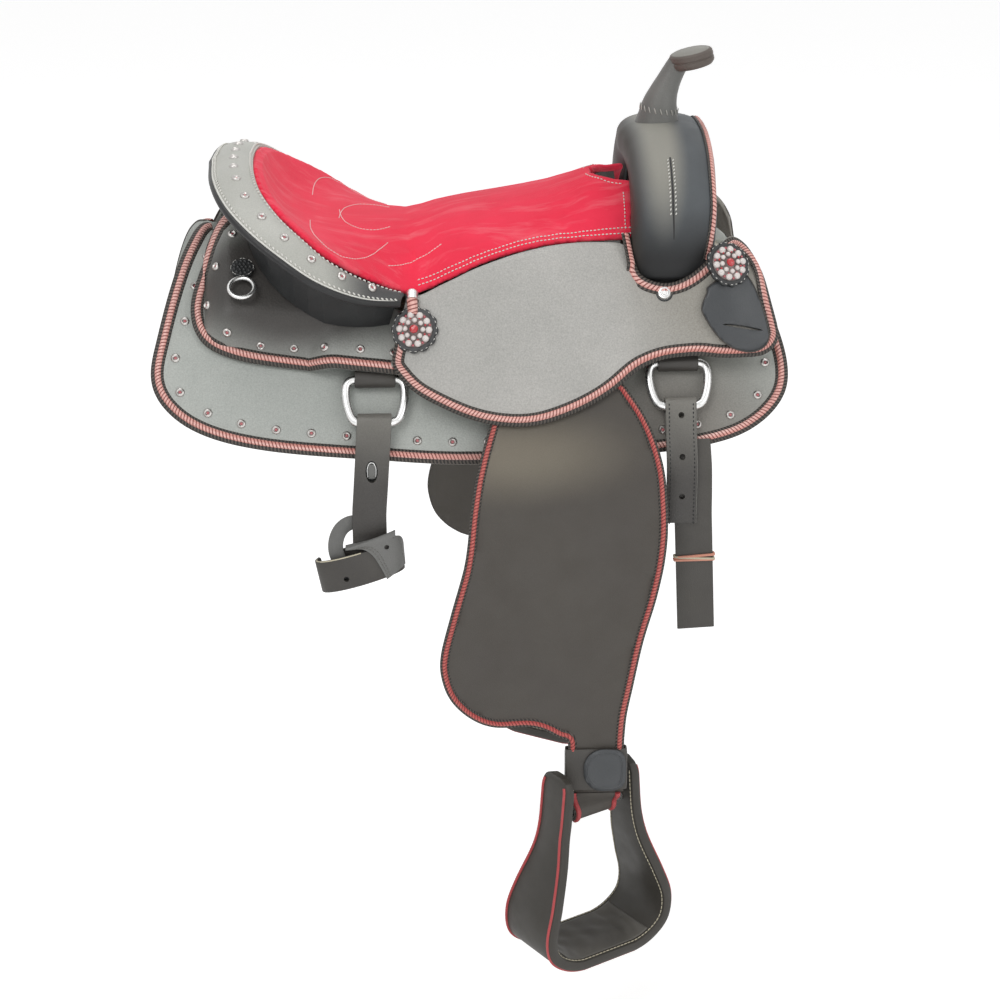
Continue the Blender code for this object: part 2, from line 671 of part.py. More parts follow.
def build_horn():
    cover = fork_solid("swell_space", COVER_GAP + COVER_T + LAYER / 2, cutter=True)
    rings = []
    for index, (x, z) in enumerate(HORN_AXIS):
        before = HORN_AXIS[max(index - 1, 0)]
        after = HORN_AXIS[min(index + 1, len(HORN_AXIS) - 1)]
        lean = Vector((after[0] - before[0], 0, after[1] - before[1])).normalized()
        across = Vector((lean.z, 0, -lean.x))
        rings.append([Vector((x, 0, z)) + HORN_RADII[index]
                      * (across * math.cos(math.pi * step / 8)
                         + Vector((0, math.sin(math.pi * step / 8), 0))) for step in range(16)])
    neck = ring_solid("horn_neck", BLACK_LEATHER, rings)
    boolean(neck, cover)
    place = Matrix.Translation(CAP_CENTRE) @ Matrix.Rotation(-CAP_TILT, 4, "Y")
    boolean(neck, horn_cap("cap_space", FIT, place, True))
    horn_cap("horn_cap", 0.0, place, False)


def horn_cap(name, grow, place, cutter):
    radius, half = CAP_R + grow, CAP_T / 2 + grow
    rim = CAP_T * 0.16
    profile = [(0.0, half), (radius - rim, half), (radius, half - rim), (radius, -half + rim),
               (radius - rim, -half), (0.0, -half)]
    return turned(name, BLACK_LEATHER, profile, 24, place, cutter)


def build_seat():
    """Suede seat with a hand hole behind the fork, on its shaped ground seat."""
    seat = sheet("seat", RED_SUEDE, lambda u, v: seat_point(u, 2 * v - 1), 26, 12,
                 Vector((0, 0, 1)), SEAT_T, offset=-1.0)
    ground = sheet("ground_seat", BROWN_LEATHER,
                   lambda u, v: seat_point(0.02 + 0.66 * u, 0.86 * (2 * v - 1)), 12, 8,
                   Vector((0, 0, 1)), GROUND_SEAT_T, near=-SEAT_T - 0.0022, offset=-1.0)
    bm = bmesh.new()
    bmesh.ops.create_cone(bm, cap_ends=True, segments=24, radius1=HAND_HOLE_R, radius2=HAND_HOLE_R,
                          depth=0.12, matrix=Matrix.Translation((HAND_HOLE_X, 0, 0.08)))
    hole = add_object("hand_hole", mesh_from("hand_hole", bm), RED_SUEDE, cutter=True)
    for piece in (seat, ground):
        boolean(piece, hole)
        boolean(piece, bpy.data.objects["swell_space"])
    for side in (-1, 1):
        boolean(ground, bpy.data.objects["bed_" + side_name(side)])


def build_cantle():
    """Roll round the rim of the seat, the leather behind it and the board inside."""
    rings = []
    steps = 34
    for step in range(steps + 1):
        u = 0.012 + 0.976 * step / steps
        top = [mirrored(lambda t: roll_point(t, v / 4), u) for v in range(5)]
        under = [mirrored(lambda t: roll_point(t, v / 4, 1.0), u) for v in range(4, -1, -1)]
        rings.append(top + under)
    ring_solid("cantle_roll", GREY_LEATHER, rings)

    def leather(t, v):
        x, s = spline(CANTLE_FOOT, t)
        lift = rear_jockey_lift(x, max(s, 0.022)) + JOCKEY_T + 0.0018
        top = roll_point(t, 0.55, 1.0) - Vector((0, 0, 0.0012))
        return top.lerp(horseback(x, s, lift, 1), v)

    def wood(t, v):
        inner, outer = roll_edges(t)
        top = leather(t, 0.14) + (inner - outer).normalized() * (COVER_T + 0.0030)
        x, s = spline(BOARD_FOOT, t)
        return top.lerp(horseback(x, s, BAR_TOP - 0.006, 1), v)

    sheet("cantle_back", BLACK_LEATHER,
          lambda u, v: mirrored(lambda t: leather(t, v), 0.02 + 0.96 * u), 30, 3,
          Vector((-1, 0, -0.3)), COVER_T, offset=-1.0)
    board = sheet("tree_cantle", WOOD,
                  lambda u, v: mirrored(lambda t: wood(t, v), 0.12 + 0.76 * u), 26, 3,
                  Vector((-1, 0, -0.3)), CANTLE_BOARD_T, offset=-1.0)
    for side in (-1, 1):
        boolean(board, bpy.data.objects["bed_" + side_name(side)])


def dee_points(side, x, s):
    """The dee's wire in the plane of the saddle's side: a straight bar, arms that draw in."""
    half = [(DEE_HALF - 0.006, 0.0), (DEE_HALF, 0.006), (DEE_HALF, 0.021),
            (DEE_HALF - 0.0025, 0.0325), (DEE_FLAT + 0.0045, 0.0415), (DEE_FLAT, DEE_DROP)]
    flat = half + [(-reach, down) for reach, down in reversed(half)]
    return [horse_plane(x + dx, s + ds, DEE_LIFT, side, s) for dx, ds in flat]


def horse_plane(x, s, lift, side, about):
    """Point on the plane that touches the horse's back along the line s = about."""
    step = 0.001
    foot = horseback(x, about, lift, side)
    down = (horseback(x, about + step, lift, side) - horseback(x, about - step, lift, side))
    return foot + down.normalized() * (s - about)


def build_rigging(side, name, x, s, top_s):
    """A strap from under the bar, folded round the straight bar of its dee."""
    tag = side_name(side)
    path = []
    inner = RIGGING_LIFT + RIGGING_T / 2
    for step in range(4):
        path.append(horseback(x, top_s + (s - top_s) * step / 4, inner, side))
    radius = DEE_WIRE + RUN + RIGGING_T / 2
    for step in range(9):
        angle = math.pi * step / 8
        path.append(horse_plane(x, s + radius * math.sin(angle),
                                DEE_LIFT - radius * math.cos(angle), side, s))
    path.append(horse_plane(x, s - 0.008, DEE_LIFT + radius * 0.75, side, s))
    path.append(horse_plane(x, s - 0.019, inner + RIGGING_T + 0.0022, side, s))
    path.append(horse_plane(x, s - 0.029, inner + RIGGING_T + 0.0012, side, s))
    strap("%s_rigging_%s" % (name, tag), BROWN_LEATHER, path, RIGGING_WIDTH, RIGGING_T,
          Vector((1, 0, 0)))
    ring = wire("%s_dee_%s" % (name, tag), STEEL, dee_points(side, x, s), DEE_WIRE, cyclic=True)
    pivot = hinge("%s_dee_hinge_%s" % (name, tag), horseback(x, s, DEE_LIFT, side),
                  Vector((1, 0, 0)))
    carry(pivot, [ring])
    return pivot


def billet_path(side, x, s, length, under):
    """Over the dee's lower bar, down the skirt and then straight down past its edge."""
    about = s
    radius = DEE_WIRE + RUN + BILLET_T / 2
    bottom = s + DEE_DROP
    path = [horse_plane(x, bottom + BILLET_TAIL, DEE_LIFT - radius + 0.0010, side, about),
            horse_plane(x, bottom + BILLET_TAIL / 2, DEE_LIFT - radius + 0.0002, side, about)]
    for step in range(9):
        angle = math.pi * step / 8
        path.append(horse_plane(x, bottom - radius * math.sin(angle),
                                DEE_LIFT - radius * math.cos(angle), side, about))
    path.append(horse_plane(x, bottom + 0.013, DEE_LIFT + 0.0036, side, about))
    path.append(horse_plane(x, bottom + BILLET_TAIL, DEE_LIFT - radius + 0.0064, side, about))
    edge = flat_side(x, SKIRT_EDGE_S, SKIRT_TOP + under, side)
    path.append(edge)
    path.append(edge + Vector((0, side * 0.0030, -0.012)))
    for step in range(1, 5):
        path.append(edge + Vector((0, side * 0.0035, -0.012 - length * step / 4)))
    return path


def build_billet(side, name, x, s, width, length, under=0.0040):
    """A billet on the dee; x runs along the saddle, so it can only swing outward."""
    path = billet_path(side, x, s, length, under)
    made = strap(name, BROWN_LEATHER, path, width, BILLET_T, Vector((1, 0, 0)))
    pivot = hinge(name + "_hinge", horse_plane(x, s + DEE_DROP, DEE_LIFT, side, s),
                  Vector((1, 0, 0)))
    carry(pivot, [made])
    return pivot, path


def slot_cutter(name, centre, across, size_x, size_z, turn=0.0):
    bm = bmesh.new()
    bmesh.ops.create_cone(bm, cap_ends=True, segments=16, radius1=0.5, radius2=0.5, depth=0.05)
    made = add_object(name, mesh_from(name, bm), BROWN_LEATHER, cutter=True)
    place = place_on(centre, across) @ Matrix.Rotation(turn, 4, "Z")
    made.matrix_world = place @ Matrix.Diagonal((size_x, size_z, 1, 1))
    return made


def build_rear_billet(side):
    """The cinch billet with its slot, its end rolled up round itself."""
    tag = side_name(side)
    pivot, path = build_billet(side, "rear_billet_" + tag, REAR_DEE_X, REAR_DEE_S,
                               REAR_BILLET_WIDTH, REAR_BILLET_LENGTH)
    low = path[-1]
    hole = slot_cutter("billet_slot_" + tag, path[-5] + Vector((0, 0, 0.0015)), Vector((0, 1, 0)),
                       0.012, 0.020)
    boolean(bpy.data.objects["rear_billet_" + tag], hole)
    centre = low + Vector((-0.011, side * 0.0058, -0.006))
    lean = Matrix.Rotation(math.radians(-12), 3, "Y")
    coil = []
    for step in range(15):
        angle = math.radians(205 - 330 * step / 14)
        grow = 1 + 0.10 * step / 14
        coil.append(centre + lean @ Vector((0.0425 * grow * math.cos(angle),
                                            side * 0.0135 * grow * math.sin(angle),
                                            -0.002 * step / 14)))
    roll = strap("rear_billet_roll_" + tag, BROWN_LEATHER, coil, 0.034, BILLET_T,
                 lean @ Vector((0.10, 0, 1)).normalized())
    carry(pivot, [roll])
    return pivot


def build_front_billet(side):
    """The off billet, punched and backed by a long strap, or the latigo on the near side."""
    if side > 0:
        return build_billet(side, "latigo", FRONT_BILLET_X, FRONT_DEE_S, FRONT_BILLET_WIDTH,
                            LATIGO_LENGTH)[0]
    pivot, path = build_billet(side, "off_billet", FRONT_BILLET_X, FRONT_DEE_S,
                               FRONT_BILLET_WIDTH, OFF_BILLET_LENGTH, under=0.0087)
    top = path[-5]
    billet = bpy.data.objects["off_billet"]
    for index, down in enumerate((-0.030, 0.001, 0.037)):
        boolean(billet, slot_cutter("billet_hole_%d" % index, top + Vector((0, 0, -down)),
                                    Vector((0, 1, 0)), 0.006, 0.006))
    aside = FRONT_DEE_X + 0.010
    edge = flat_side(aside, SKIRT_EDGE_S, SKIRT_TOP + 0.0030, side)
    behind = [flat_side(aside, FRONT_DEE_S + DEE_DROP + BILLET_TAIL + 0.003, SKIRT_TOP + 0.0032, side),
              edge, edge + Vector((0, side * 0.0030, -0.012))]
    for step in range(1, 5):
        behind.append(edge + Vector((0, side * 0.0035, -0.012 - OFF_STRAP_LENGTH * step / 4)))
    carry(pivot, [strap("off_strap", BROWN_LEATHER, behind, 0.036, BILLET_T, Vector((1, 0, 0)))])
    return pivot


def build_small_ring(side):
    """Rosette and ring on the rear jockey, for saddle strings."""
    tag = side_name(side)
    lift = rear_jockey_lift(SMALL_RING_X, SMALL_RING_S) + JOCKEY_T
    normal = (horseback(SMALL_RING_X, SMALL_RING_S, 1.0, side)
              - horseback(SMALL_RING_X, SMALL_RING_S, 0.0, side))
    place = place_on(horseback(SMALL_RING_X, SMALL_RING_S, lift + 0.0018, side), normal)
    scalloped("small_rosette_" + tag, 0.012, 0.003, 8, place)
    ring = []
    for step in range(20):
        angle = 2 * math.pi * step / 20
        ring.append(place @ Vector((SMALL_RING_R * math.sin(angle),
                                    -0.0147 - SMALL_RING_R + SMALL_RING_R * math.cos(angle),
                                    0.0036)))
    made = wire("small_ring_" + tag, STEEL, ring, SMALL_RING_WIRE, cyclic=True, resolution=1)
    pivot = hinge("small_ring_hinge_" + tag, ring[0], place.to_3x3() @ Vector((1, 0, 0)))
    carry(pivot, [made])


def build_fender(side):
    tag = side_name(side)
    normal = side_normal(side)
    outline = closed_curve(FENDER_OUTLINE, 2)
    for point in outline:
        point.y = min(point.y, FENDER_END_S)
        if point.y > HOBBLE_S - HOBBLE_HEIGHT / 2 - 0.012:
            point.x = min(max(point.x, FENDER_NECK[0]), FENDER_NECK[1])
    fender = panel("fender_" + tag, BROWN_LEATHER, outline,
                   lambda x, s: hanging(x, s, FENDER_LIFT, side), normal, FENDER_T, 0.2, 0.024)
    half = STIRRUP_LEATHER_T / 2
    outer = NECK_LIFT + NECK_T + RUN + half
    inner = NECK_LIFT - RUN - half
    under_fender = FENDER_LIFT - FIT - half
    path = [(LEATHER_TAIL_S - PIVOT_S, under_fender), (0.105, under_fender),
            (LOOP_DROP + 0.030, under_fender - 0.0006), (LOOP_DROP * 0.5, outer)]
    top = (outer + inner) / 2
    radius = (outer - inner) / 2
    rise = NECK_HUMP - 0.0012
    for step in range(9):
        angle = math.pi * step / 8
        path.append((-rise - radius * math.sin(angle), top + radius * math.cos(angle)))
    path.append((LOOP_DROP * 0.5, inner))
    path.append((LOOP_DROP - 0.006, inner + 0.0005))
    path.append((LOOP_DROP + 0.010, inner + 0.0072))
    points = [flat_side(PIVOT_X, PIVOT_S + down, lift, side) for down, lift in path]
    leather = strap("stirrup_leather_" + tag, BROWN_LEATHER, points, LEATHER_WIDTH,
                    STIRRUP_LEATHER_T, Vector((1, 0, 0)))
    hobble = build_hobble(side)
    loop, bolt_centre, across = build_fender_loop(side)
    pivot = hinge("fender_hinge_" + tag, flat_side(PIVOT_X, PIVOT_S, NECK_LIFT, side), normal)
    carry(pivot, [fender, leather, hobble, loop])
    stirrup_hinge = build_stirrup(side, bolt_centre, across)
    carry(pivot, [stirrup_hinge])


def build_hobble(side):
    """The hobble strap, a band round the fender's neck that the buckle patch sits on."""
    tag = side_name(side)
    left, right = FENDER_NECK
    reach = 0.0010
    low, high = -reach, FENDER_T + reach
    flat = [(left - reach, high - 0.0012), (left + 0.0004, high), (right - 0.0004, high),
            (right + reach, high - 0.0012), (right + reach, low + 0.0012),
            (right - 0.0004, low), (left + 0.0004, low), (left - reach, low + 0.0012)]
    path = [hanging(x, HOBBLE_S, FENDER_LIFT + lift, side) for x, lift in flat]
    down = (hanging(0.2, HOBBLE_S + 0.01, FENDER_LIFT, side)
            - hanging(0.2, HOBBLE_S, FENDER_LIFT, side)).normalized()
    bm = bmesh.new()
    rows = [[bm.verts.new(point + down * HOBBLE_HEIGHT * end) for end in (-0.5, 0.5)]
            for point in path]
    for index, row in enumerate(rows):
        following = rows[(index + 1) % len(rows)]
        bm.faces.new((row[0], row[1], following[1], following[0]))
    middle = sum(path, Vector()) / len(path)
    mesh = mesh_from("hobble_strap_" + tag, bm)
    made = add_object("hobble_strap_" + tag, mesh, BLACK_LEATHER)
    outward = mesh.polygons[0].normal.dot(mesh.polygons[0].center - middle) > 0
    thicken(made, HOBBLE_T, 1.0 if outward else -1.0)
    return made


def build_fender_loop(side):
    """The leather's lower end: it twists on its way down and folds round the stirrup bolt."""
    tag = side_name(side)
    centre_x = sum(FENDER_NECK) / 2
    start = hanging(centre_x, FENDER_END_S + LAYER, FENDER_LIFT + FENDER_T / 2, side)
    turn = Matrix.Rotation(side * -LOOP_TURN, 3, "Z")
    outward = turn @ Vector((0, side, 0))
    radius = BOLT_R + RUN + LOOP_T / 2
    bolt = start + Vector((0, 0, -LOOP_LENGTH)) - outward * radius
    path, across = [], []
    for step in range(6):
        share = step / 5
        path.append(start + Vector((0, 0, -LOOP_LENGTH * share)))
        twist = Matrix.Rotation(side * -LOOP_TURN * smoothstep(share * 1.1), 3, "Z")
        across.append(twist @ Vector((1, 0, 0)))
    for step in range(1, 9):
        angle = math.pi * step / 8
        path.append(bolt + outward * radius * math.cos(angle)
                    - Vector((0, 0, radius * math.sin(angle))))
        across.append(across[5])
    path.append(bolt - outward * radius + Vector((0, 0, 0.010)))
    across.append(across[5])
    made = strap("fender_loop_" + tag, BROWN_LEATHER, path, LOOP_WIDTH, LOOP_T, across)
    return made, bolt, across[5]


def build_stirrup(side, bolt_centre, across):
    """A bell stirrup: a broad bent band, flaring from the bolt to a wide tread."""
    tag = side_name(side)
    down = Vector((0, 0, -1))
    outward = Vector((0, 0, 1)).cross(across).normalized()
    full = STIRRUP_SHAPE + [(-reach, drop) for reach, drop in reversed(STIRRUP_SHAPE[:-1])]
    path, widths = [], []
    count = 34
    for step in range(count + 1):
        reach, drop = spline(full, step / count)
        drop = min(drop, STIRRUP_SHAPE[-1][1])
        path.append(bolt_centre + across * reach + down * drop)
        widths.append(STIRRUP_NECK_DEPTH + (STIRRUP_TREAD_DEPTH - STIRRUP_NECK_DEPTH)
                      * smoothstep((drop - 0.01) / 0.10))
    made = strap("stirrup_" + tag, BROWN_LEATHER, path, widths, STIRRUP_WALL, outward)
    reach = STIRRUP_SHAPE[1][0] - STIRRUP_WALL / 2 + FIT
    bolt = wire("stirrup_bolt_" + tag, STEEL,
                [bolt_centre - across * reach, bolt_centre + across * reach], BOLT_R, resolution=3)
    pivot = hinge("stirrup_hinge_" + tag, bolt_centre, across)
    carry(pivot, [made, bolt])
    return pivot


def scalloped(name, radius, thickness, scallops, place):
    """A leather rosette with a scalloped edge."""
    outline = []
    for index in range(scallops * 3):
        angle = 2 * math.pi * index / (scallops * 3)
        reach = radius * (0.955 + 0.045 * math.cos(scallops * angle))
        outline.append((reach * math.cos(angle), reach * math.sin(angle)))
    bm = bmesh.new()
    face = bm.faces.new([bm.verts.new((x, y, 0)) for x, y in outline])
    top = bmesh.ops.extrude_face_region(bm, geom=[face])["geom"]
    bmesh.ops.translate(bm, vec=(0, 0, thickness),
                        verts=[item for item in top if isinstance(item, bmesh.types.BMVert)])
    made = add_object(name, mesh_from(name, bm), BLACK_LEATHER)
    made.matrix_world = place
    return made


def build_conchos(side):
    tag = side_name(side)
    for name, (u, v, rise) in (("front", FRONT_CONCHO), ("rear", REAR_CONCHO)):
        place = jockey_place(u, v, side, rise)
        scalloped("%s_rosette_%s" % (name, tag), ROSETTE_R, ROSETTE_T, 12, place)
        profile = [(0.0, CONCHO_RISE), (CONCHO_R * 0.35, CONCHO_RISE * 0.9),
                   (CONCHO_R * 0.75, CONCHO_RISE * 0.6), (CONCHO_R, CONCHO_RISE * 0.2),
                   (CONCHO_R, 0.0), (0.0, 0.0)]
        lift = Matrix.Translation((0, 0, ROSETTE_T + FIT))
        turned("%s_concho_%s" % (name, tag), STEEL, profile, 20, place @ lift)


def build_keeper(side):
    """Latigo keeper: a hanging leather pocket with a slot, on the front lobe."""
    tag = side_name(side)
    keeper = panel("latigo_keeper_" + tag, BLACK_LEATHER, closed_curve(KEEPER_OUTLINE, 2),
                   lambda u, v: jockey_place(u, v, side, LAYER + 0.0004).translation,
                   side_normal(side), 0.0035, 0.03, 0.2)
    slot = slot_cutter("keeper_slot_" + tag, jockey_place(*KEEPER_SLOT, side, 0.0).translation,
                       side_normal(side), 0.040, 0.0030, math.radians(side * 8))
    boolean(keeper, slot)


def build_side(side):
    build_fleece_and_skirt(side)
    build_tree_bar(side)
    build_rear_jockey(side)
    build_seat_jockey(side)
    front = build_rigging(side, "front", FRONT_DEE_X, FRONT_DEE_S, FRONT_RIGGING_TOP_S)
    rear = build_rigging(side, "rear", REAR_DEE_X, REAR_DEE_S, REAR_RIGGING_TOP_S)
    carry(rear, [build_rear_billet(side)])
    carry(front, [build_front_billet(side)])
    build_small_ring(side)
    build_fender(side)
    build_conchos(side)
    build_keeper(side)


def build_saddle():
    build_fork()
    build_horn()
    build_seat()
    build_cantle()
    for side in (-1, 1):
        build_side(side)


build_saddle()
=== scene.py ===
"""Looks of the western ranch saddle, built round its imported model, in metres.

The leather panels, the seat, the roll and the stirrups are made again from the same flat patterns
as the CAD part, with finer faces, and dressed with rope edging, stitching, studs and conchos.
"""
import json
import math

import bmesh
import bpy
from mathutils import Matrix, Vector
from mathutils.bvhtree import BVHTree


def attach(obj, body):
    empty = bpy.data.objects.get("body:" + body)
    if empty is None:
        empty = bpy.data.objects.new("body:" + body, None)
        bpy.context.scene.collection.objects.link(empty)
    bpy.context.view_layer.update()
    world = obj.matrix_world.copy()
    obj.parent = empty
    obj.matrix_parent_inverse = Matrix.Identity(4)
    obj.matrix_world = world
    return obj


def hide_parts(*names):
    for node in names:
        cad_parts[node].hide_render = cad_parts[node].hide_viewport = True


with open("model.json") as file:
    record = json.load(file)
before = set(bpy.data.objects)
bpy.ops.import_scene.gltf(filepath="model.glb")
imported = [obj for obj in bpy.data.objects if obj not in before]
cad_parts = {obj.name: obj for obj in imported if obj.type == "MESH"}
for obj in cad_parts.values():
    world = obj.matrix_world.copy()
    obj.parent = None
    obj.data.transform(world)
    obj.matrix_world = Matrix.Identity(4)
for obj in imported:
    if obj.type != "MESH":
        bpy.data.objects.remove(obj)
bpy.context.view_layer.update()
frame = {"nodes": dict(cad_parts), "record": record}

NODES = frame["nodes"]

# Horse's back and leather thicknesses, as in the CAD part
FIT = 0.0003
LAYER = 0.0008
CROWN_SLOPE = math.radians(18)
SIDE_SLOPE = math.radians(58)
SIDE_START = 0.19
WITHER_X, WITHER_RISE = 0.38, 0.045
LOIN_X, LOIN_RISE = -0.24, 0.035
RISE_FADE = 0.18
FLEECE_T = 0.0115
SKIRT_T = 0.0047
JOCKEY_T = 0.0045
RIGGING_T = 0.003
FENDER_T = 0.005
BILLET_T = 0.004
FRONT_BILLET_WIDTH, REAR_BILLET_WIDTH = 0.031, 0.034
SEAT_T = 0.004
COVER_T = 0.0035
COVER_GAP = 0.0009
ROLL_T = 0.009
ROLL_EDGE_T = 0.0045
ROLL_CROWN = 0.005
BAR_T = 0.0217

DEE_WIRE = 0.0045
DEE_HALF = 0.029
DEE_FLAT = 0.0185
DEE_DROP = 0.0445
FRONT_DEE_X, FRONT_DEE_S = 0.267, 0.165
REAR_DEE_X, REAR_DEE_S = -0.035, 0.176

FENDER_BEND_S = 0.285
FENDER_BEND_R = 0.15
FENDER_HANG = math.radians(86)
FENDER_END_S = 0.596
FENDER_NECK = (0.152, 0.208)
HOBBLE_S = 0.57
HOBBLE_HEIGHT = 0.044
HOBBLE_T = 0.0028
LOOP_WIDTH = 0.052
LOOP_T = 0.004
LOOP_LENGTH = 0.018
LOOP_TURN = math.radians(32)
BOLT_R = 0.0055
STIRRUP_WALL = 0.011
STIRRUP_SHAPE = [(0.04, -0.046), (0.0425, -0.012), (0.045, 0.012), (0.051, 0.044), (0.064, 0.082),
                 (0.073, 0.112), (0.07, 0.136), (0.054, 0.151), (0.032, 0.158), (0.0, 0.158)]
STIRRUP_NECK_DEPTH = 0.044
STIRRUP_TREAD_DEPTH = 0.08

CAP_CENTRE = Vector((0.2915, 0.0, 0.1925))
CAP_R, CAP_T = 0.0225, 0.0155
CAP_TILT = math.radians(13)
HORN_AXIS = [(0.256, 0.112), (0.2583, 0.133), (0.26, 0.146), (0.2635, 0.158), (0.2685, 0.17),
             (0.274, 0.181), (0.2775, 0.187)]
HORN_RADII = [0.0215, 0.0205, 0.018, 0.0148, 0.0124, 0.0112, 0.0108]

ROSETTE_R, ROSETTE_T = 0.0235, 0.003
CONCHO_R = 0.0185
FRONT_CONCHO = (0.824, 0.184, 0.0052)
REAR_CONCHO = (0.056, 0.427, 0.0012)
SMALL_RING_X, SMALL_RING_S = -0.165, 0.079
SMALL_RING_R, SMALL_RING_WIRE = 0.0125, 0.0022

SKIRT_LIFT = LAYER / 2
SKIRT_TOP = SKIRT_LIFT + SKIRT_T
BAR_LIFT = SKIRT_TOP + LAYER
BAR_TOP = BAR_LIFT + BAR_T
DEE_LIFT = SKIRT_TOP + LAYER + RIGGING_T + LAYER + DEE_WIRE
RIGGING_TOP = DEE_LIFT + DEE_WIRE + LAYER + RIGGING_T
FENDER_LIFT = DEE_LIFT + DEE_WIRE + LAYER + BILLET_T + 0.001
FENDER_TOP = FENDER_LIFT + FENDER_T
JOCKEY_LIFT = FENDER_TOP + LAYER
REAR_JOCKEY_LIFT = SKIRT_TOP + LAYER

# Flat patterns (x, s) and the shapes of the seat, the roll, the jockey and the fork
SKIRT_OUTLINE = [(-0.204, 0.0), (-0.224, 0.042), (-0.248, 0.124), (-0.256, 0.169), (-0.24, 0.202),
                 (-0.203, 0.227), (-0.142, 0.243), (-0.046, 0.253), (0.064, 0.26), (0.225, 0.253),
                 (0.301, 0.243), (0.344, 0.226), (0.372, 0.197), (0.378, 0.163), (0.366, 0.121),
                 (0.344, 0.087), (0.318, 0.064), (0.28, 0.048), (0.178, 0.033), (-0.002, 0.024),
                 (-0.111, 0.016), (-0.165, 0.0)]
REAR_JOCKEY_OUTLINE = [(-0.177, 0.01), (-0.194, 0.033), (-0.209, 0.072), (-0.217, 0.109),
                       (-0.205, 0.137), (-0.17, 0.153), (-0.109, 0.163), (-0.06, 0.169),
                       (-0.01, 0.175), (0.013, 0.183), (0.04, 0.172), (0.035, 0.14),
                       (0.0, 0.116), (-0.052, 0.11), (-0.098, 0.099), (-0.13, 0.077),
                       (-0.15, 0.045), (-0.156, 0.014)]
FENDER_OUTLINE = [(0.09, 0.19), (0.082, 0.213), (0.068, 0.258), (0.057, 0.306), (0.05, 0.351),
                  (0.035, 0.406), (0.025, 0.447), (0.026, 0.471), (0.035, 0.494), (0.054, 0.513),
                  (0.078, 0.523), (0.114, 0.523), (0.134, 0.53), (0.147, 0.54), (0.1518, 0.552),
                  (0.152, 0.58), (0.152, FENDER_END_S), (0.208, FENDER_END_S), (0.208, 0.575),
                  (0.208, 0.545), (0.21, 0.515), (0.216, 0.484), (0.226, 0.435), (0.239, 0.388),
                  (0.248, 0.34), (0.249, 0.304),
                  (0.246, 0.269), (0.235, 0.231), (0.218, 0.2), (0.201, 0.183), (0.146, 0.175)]
SEAT_RIBS = [((0.222, 0.087), (0.221, 0.09, 0.029)), ((0.198, 0.079), (0.194, 0.094, 0.029)),
             ((0.148, 0.061), (0.151, 0.104, 0.03)), ((0.097, 0.05), (0.11, 0.112, 0.025)),
             ((0.062, 0.044), (0.07, 0.124, 0.014)), ((0.03, 0.038), (0.04, 0.132, 0.002)),
             ((0.0, 0.031), (0.004, 0.134, -0.01)), ((-0.04, 0.03), (-0.038, 0.154, 0.009)),
             ((-0.08, 0.033), (-0.074, 0.16, 0.031)), ((-0.108, 0.042), (-0.098, 0.151, 0.05)),
             ((-0.128, 0.056), (-0.121, 0.13, 0.067)), ((-0.14, 0.072), (-0.139, 0.1, 0.084)),
             ((-0.147, 0.086), (-0.147, 0.06, 0.094)), ((-0.15, 0.098), (-0.15, 0.0, 0.098))]
ROLL_OUTER = [(-0.001, 0.147, -0.018), (-0.047, 0.176, -0.005), (-0.089, 0.187, 0.015),
              (-0.125, 0.177, 0.038), (-0.155, 0.156, 0.058), (-0.178, 0.126, 0.076),
              (-0.192, 0.078, 0.09), (-0.197, 0.0, 0.094)]
JOCKEY_RIBS = [((-0.002, 0.135, -0.017), (-0.017, 0.167)),
               ((0.016, 0.135, -0.013), (-0.002, 0.186)),
               ((0.04, 0.134, -0.001), (0.018, 0.201)), ((0.07, 0.126, 0.011), (0.065, 0.223)),
               ((0.11, 0.114, 0.021), (0.115, 0.229)), ((0.151, 0.106, 0.027), (0.158, 0.217)),
               ((0.191, 0.097, 0.026), (0.193, 0.199)), ((0.217, 0.0985, 0.022), (0.22, 0.178)),
               ((0.226, 0.112, 0.0), (0.237, 0.17)), ((0.24, 0.1195, -0.008), (0.251, 0.166)),
               ((0.256, 0.1235, -0.0105), (0.266, 0.164)), ((0.272, 0.124, -0.006), (0.288, 0.163)),
               ((0.288, 0.1225, 0.004), (0.308, 0.165)), ((0.305, 0.115, 0.02), (0.331, 0.165)),
               ((0.32, 0.097, 0.03), (0.349, 0.164)), ((0.337, 0.096, 0.02), (0.361, 0.157)),
               ((0.351, 0.11, -0.005), (0.365, 0.145))]
KEEPER_OUTLINE = [(0.764, 0.25), (0.754, 0.3), (0.732, 0.4), (0.726, 0.503), (0.745, 0.721),
                  (0.776, 0.888), (0.82, 0.96), (0.873, 0.955), (0.907, 0.915), (0.918, 0.823),
                  (0.914, 0.645), (0.905, 0.491), (0.88, 0.36), (0.82, 0.27)]
FORK_STATIONS = [((0.0, 0.127), (0.0, 0.09), 0.222, 0.3055),
                 ((0.04, 0.125), (0.024, 0.087), 0.224, 0.305),
                 ((0.077, 0.114), (0.046, 0.077), 0.2265, 0.3045),
                 ((0.106, 0.095), (0.062, 0.06), 0.227, 0.3035),
                 ((0.124, 0.074), (0.07, 0.043), 0.227, 0.303),
                 ((0.1285, 0.053), (0.074, 0.026), 0.227, 0.3025),
                 ((0.126, 0.032), (0.076, 0.01), 0.227, 0.3015),
                 ((0.1205, 0.012), (0.078, -0.004), 0.2285, 0.299),
                 ((0.1165, -0.01), (0.08, -0.018), 0.232, 0.294),
                 ((0.112, -0.034), (0.08, -0.034), 0.236, 0.29)]
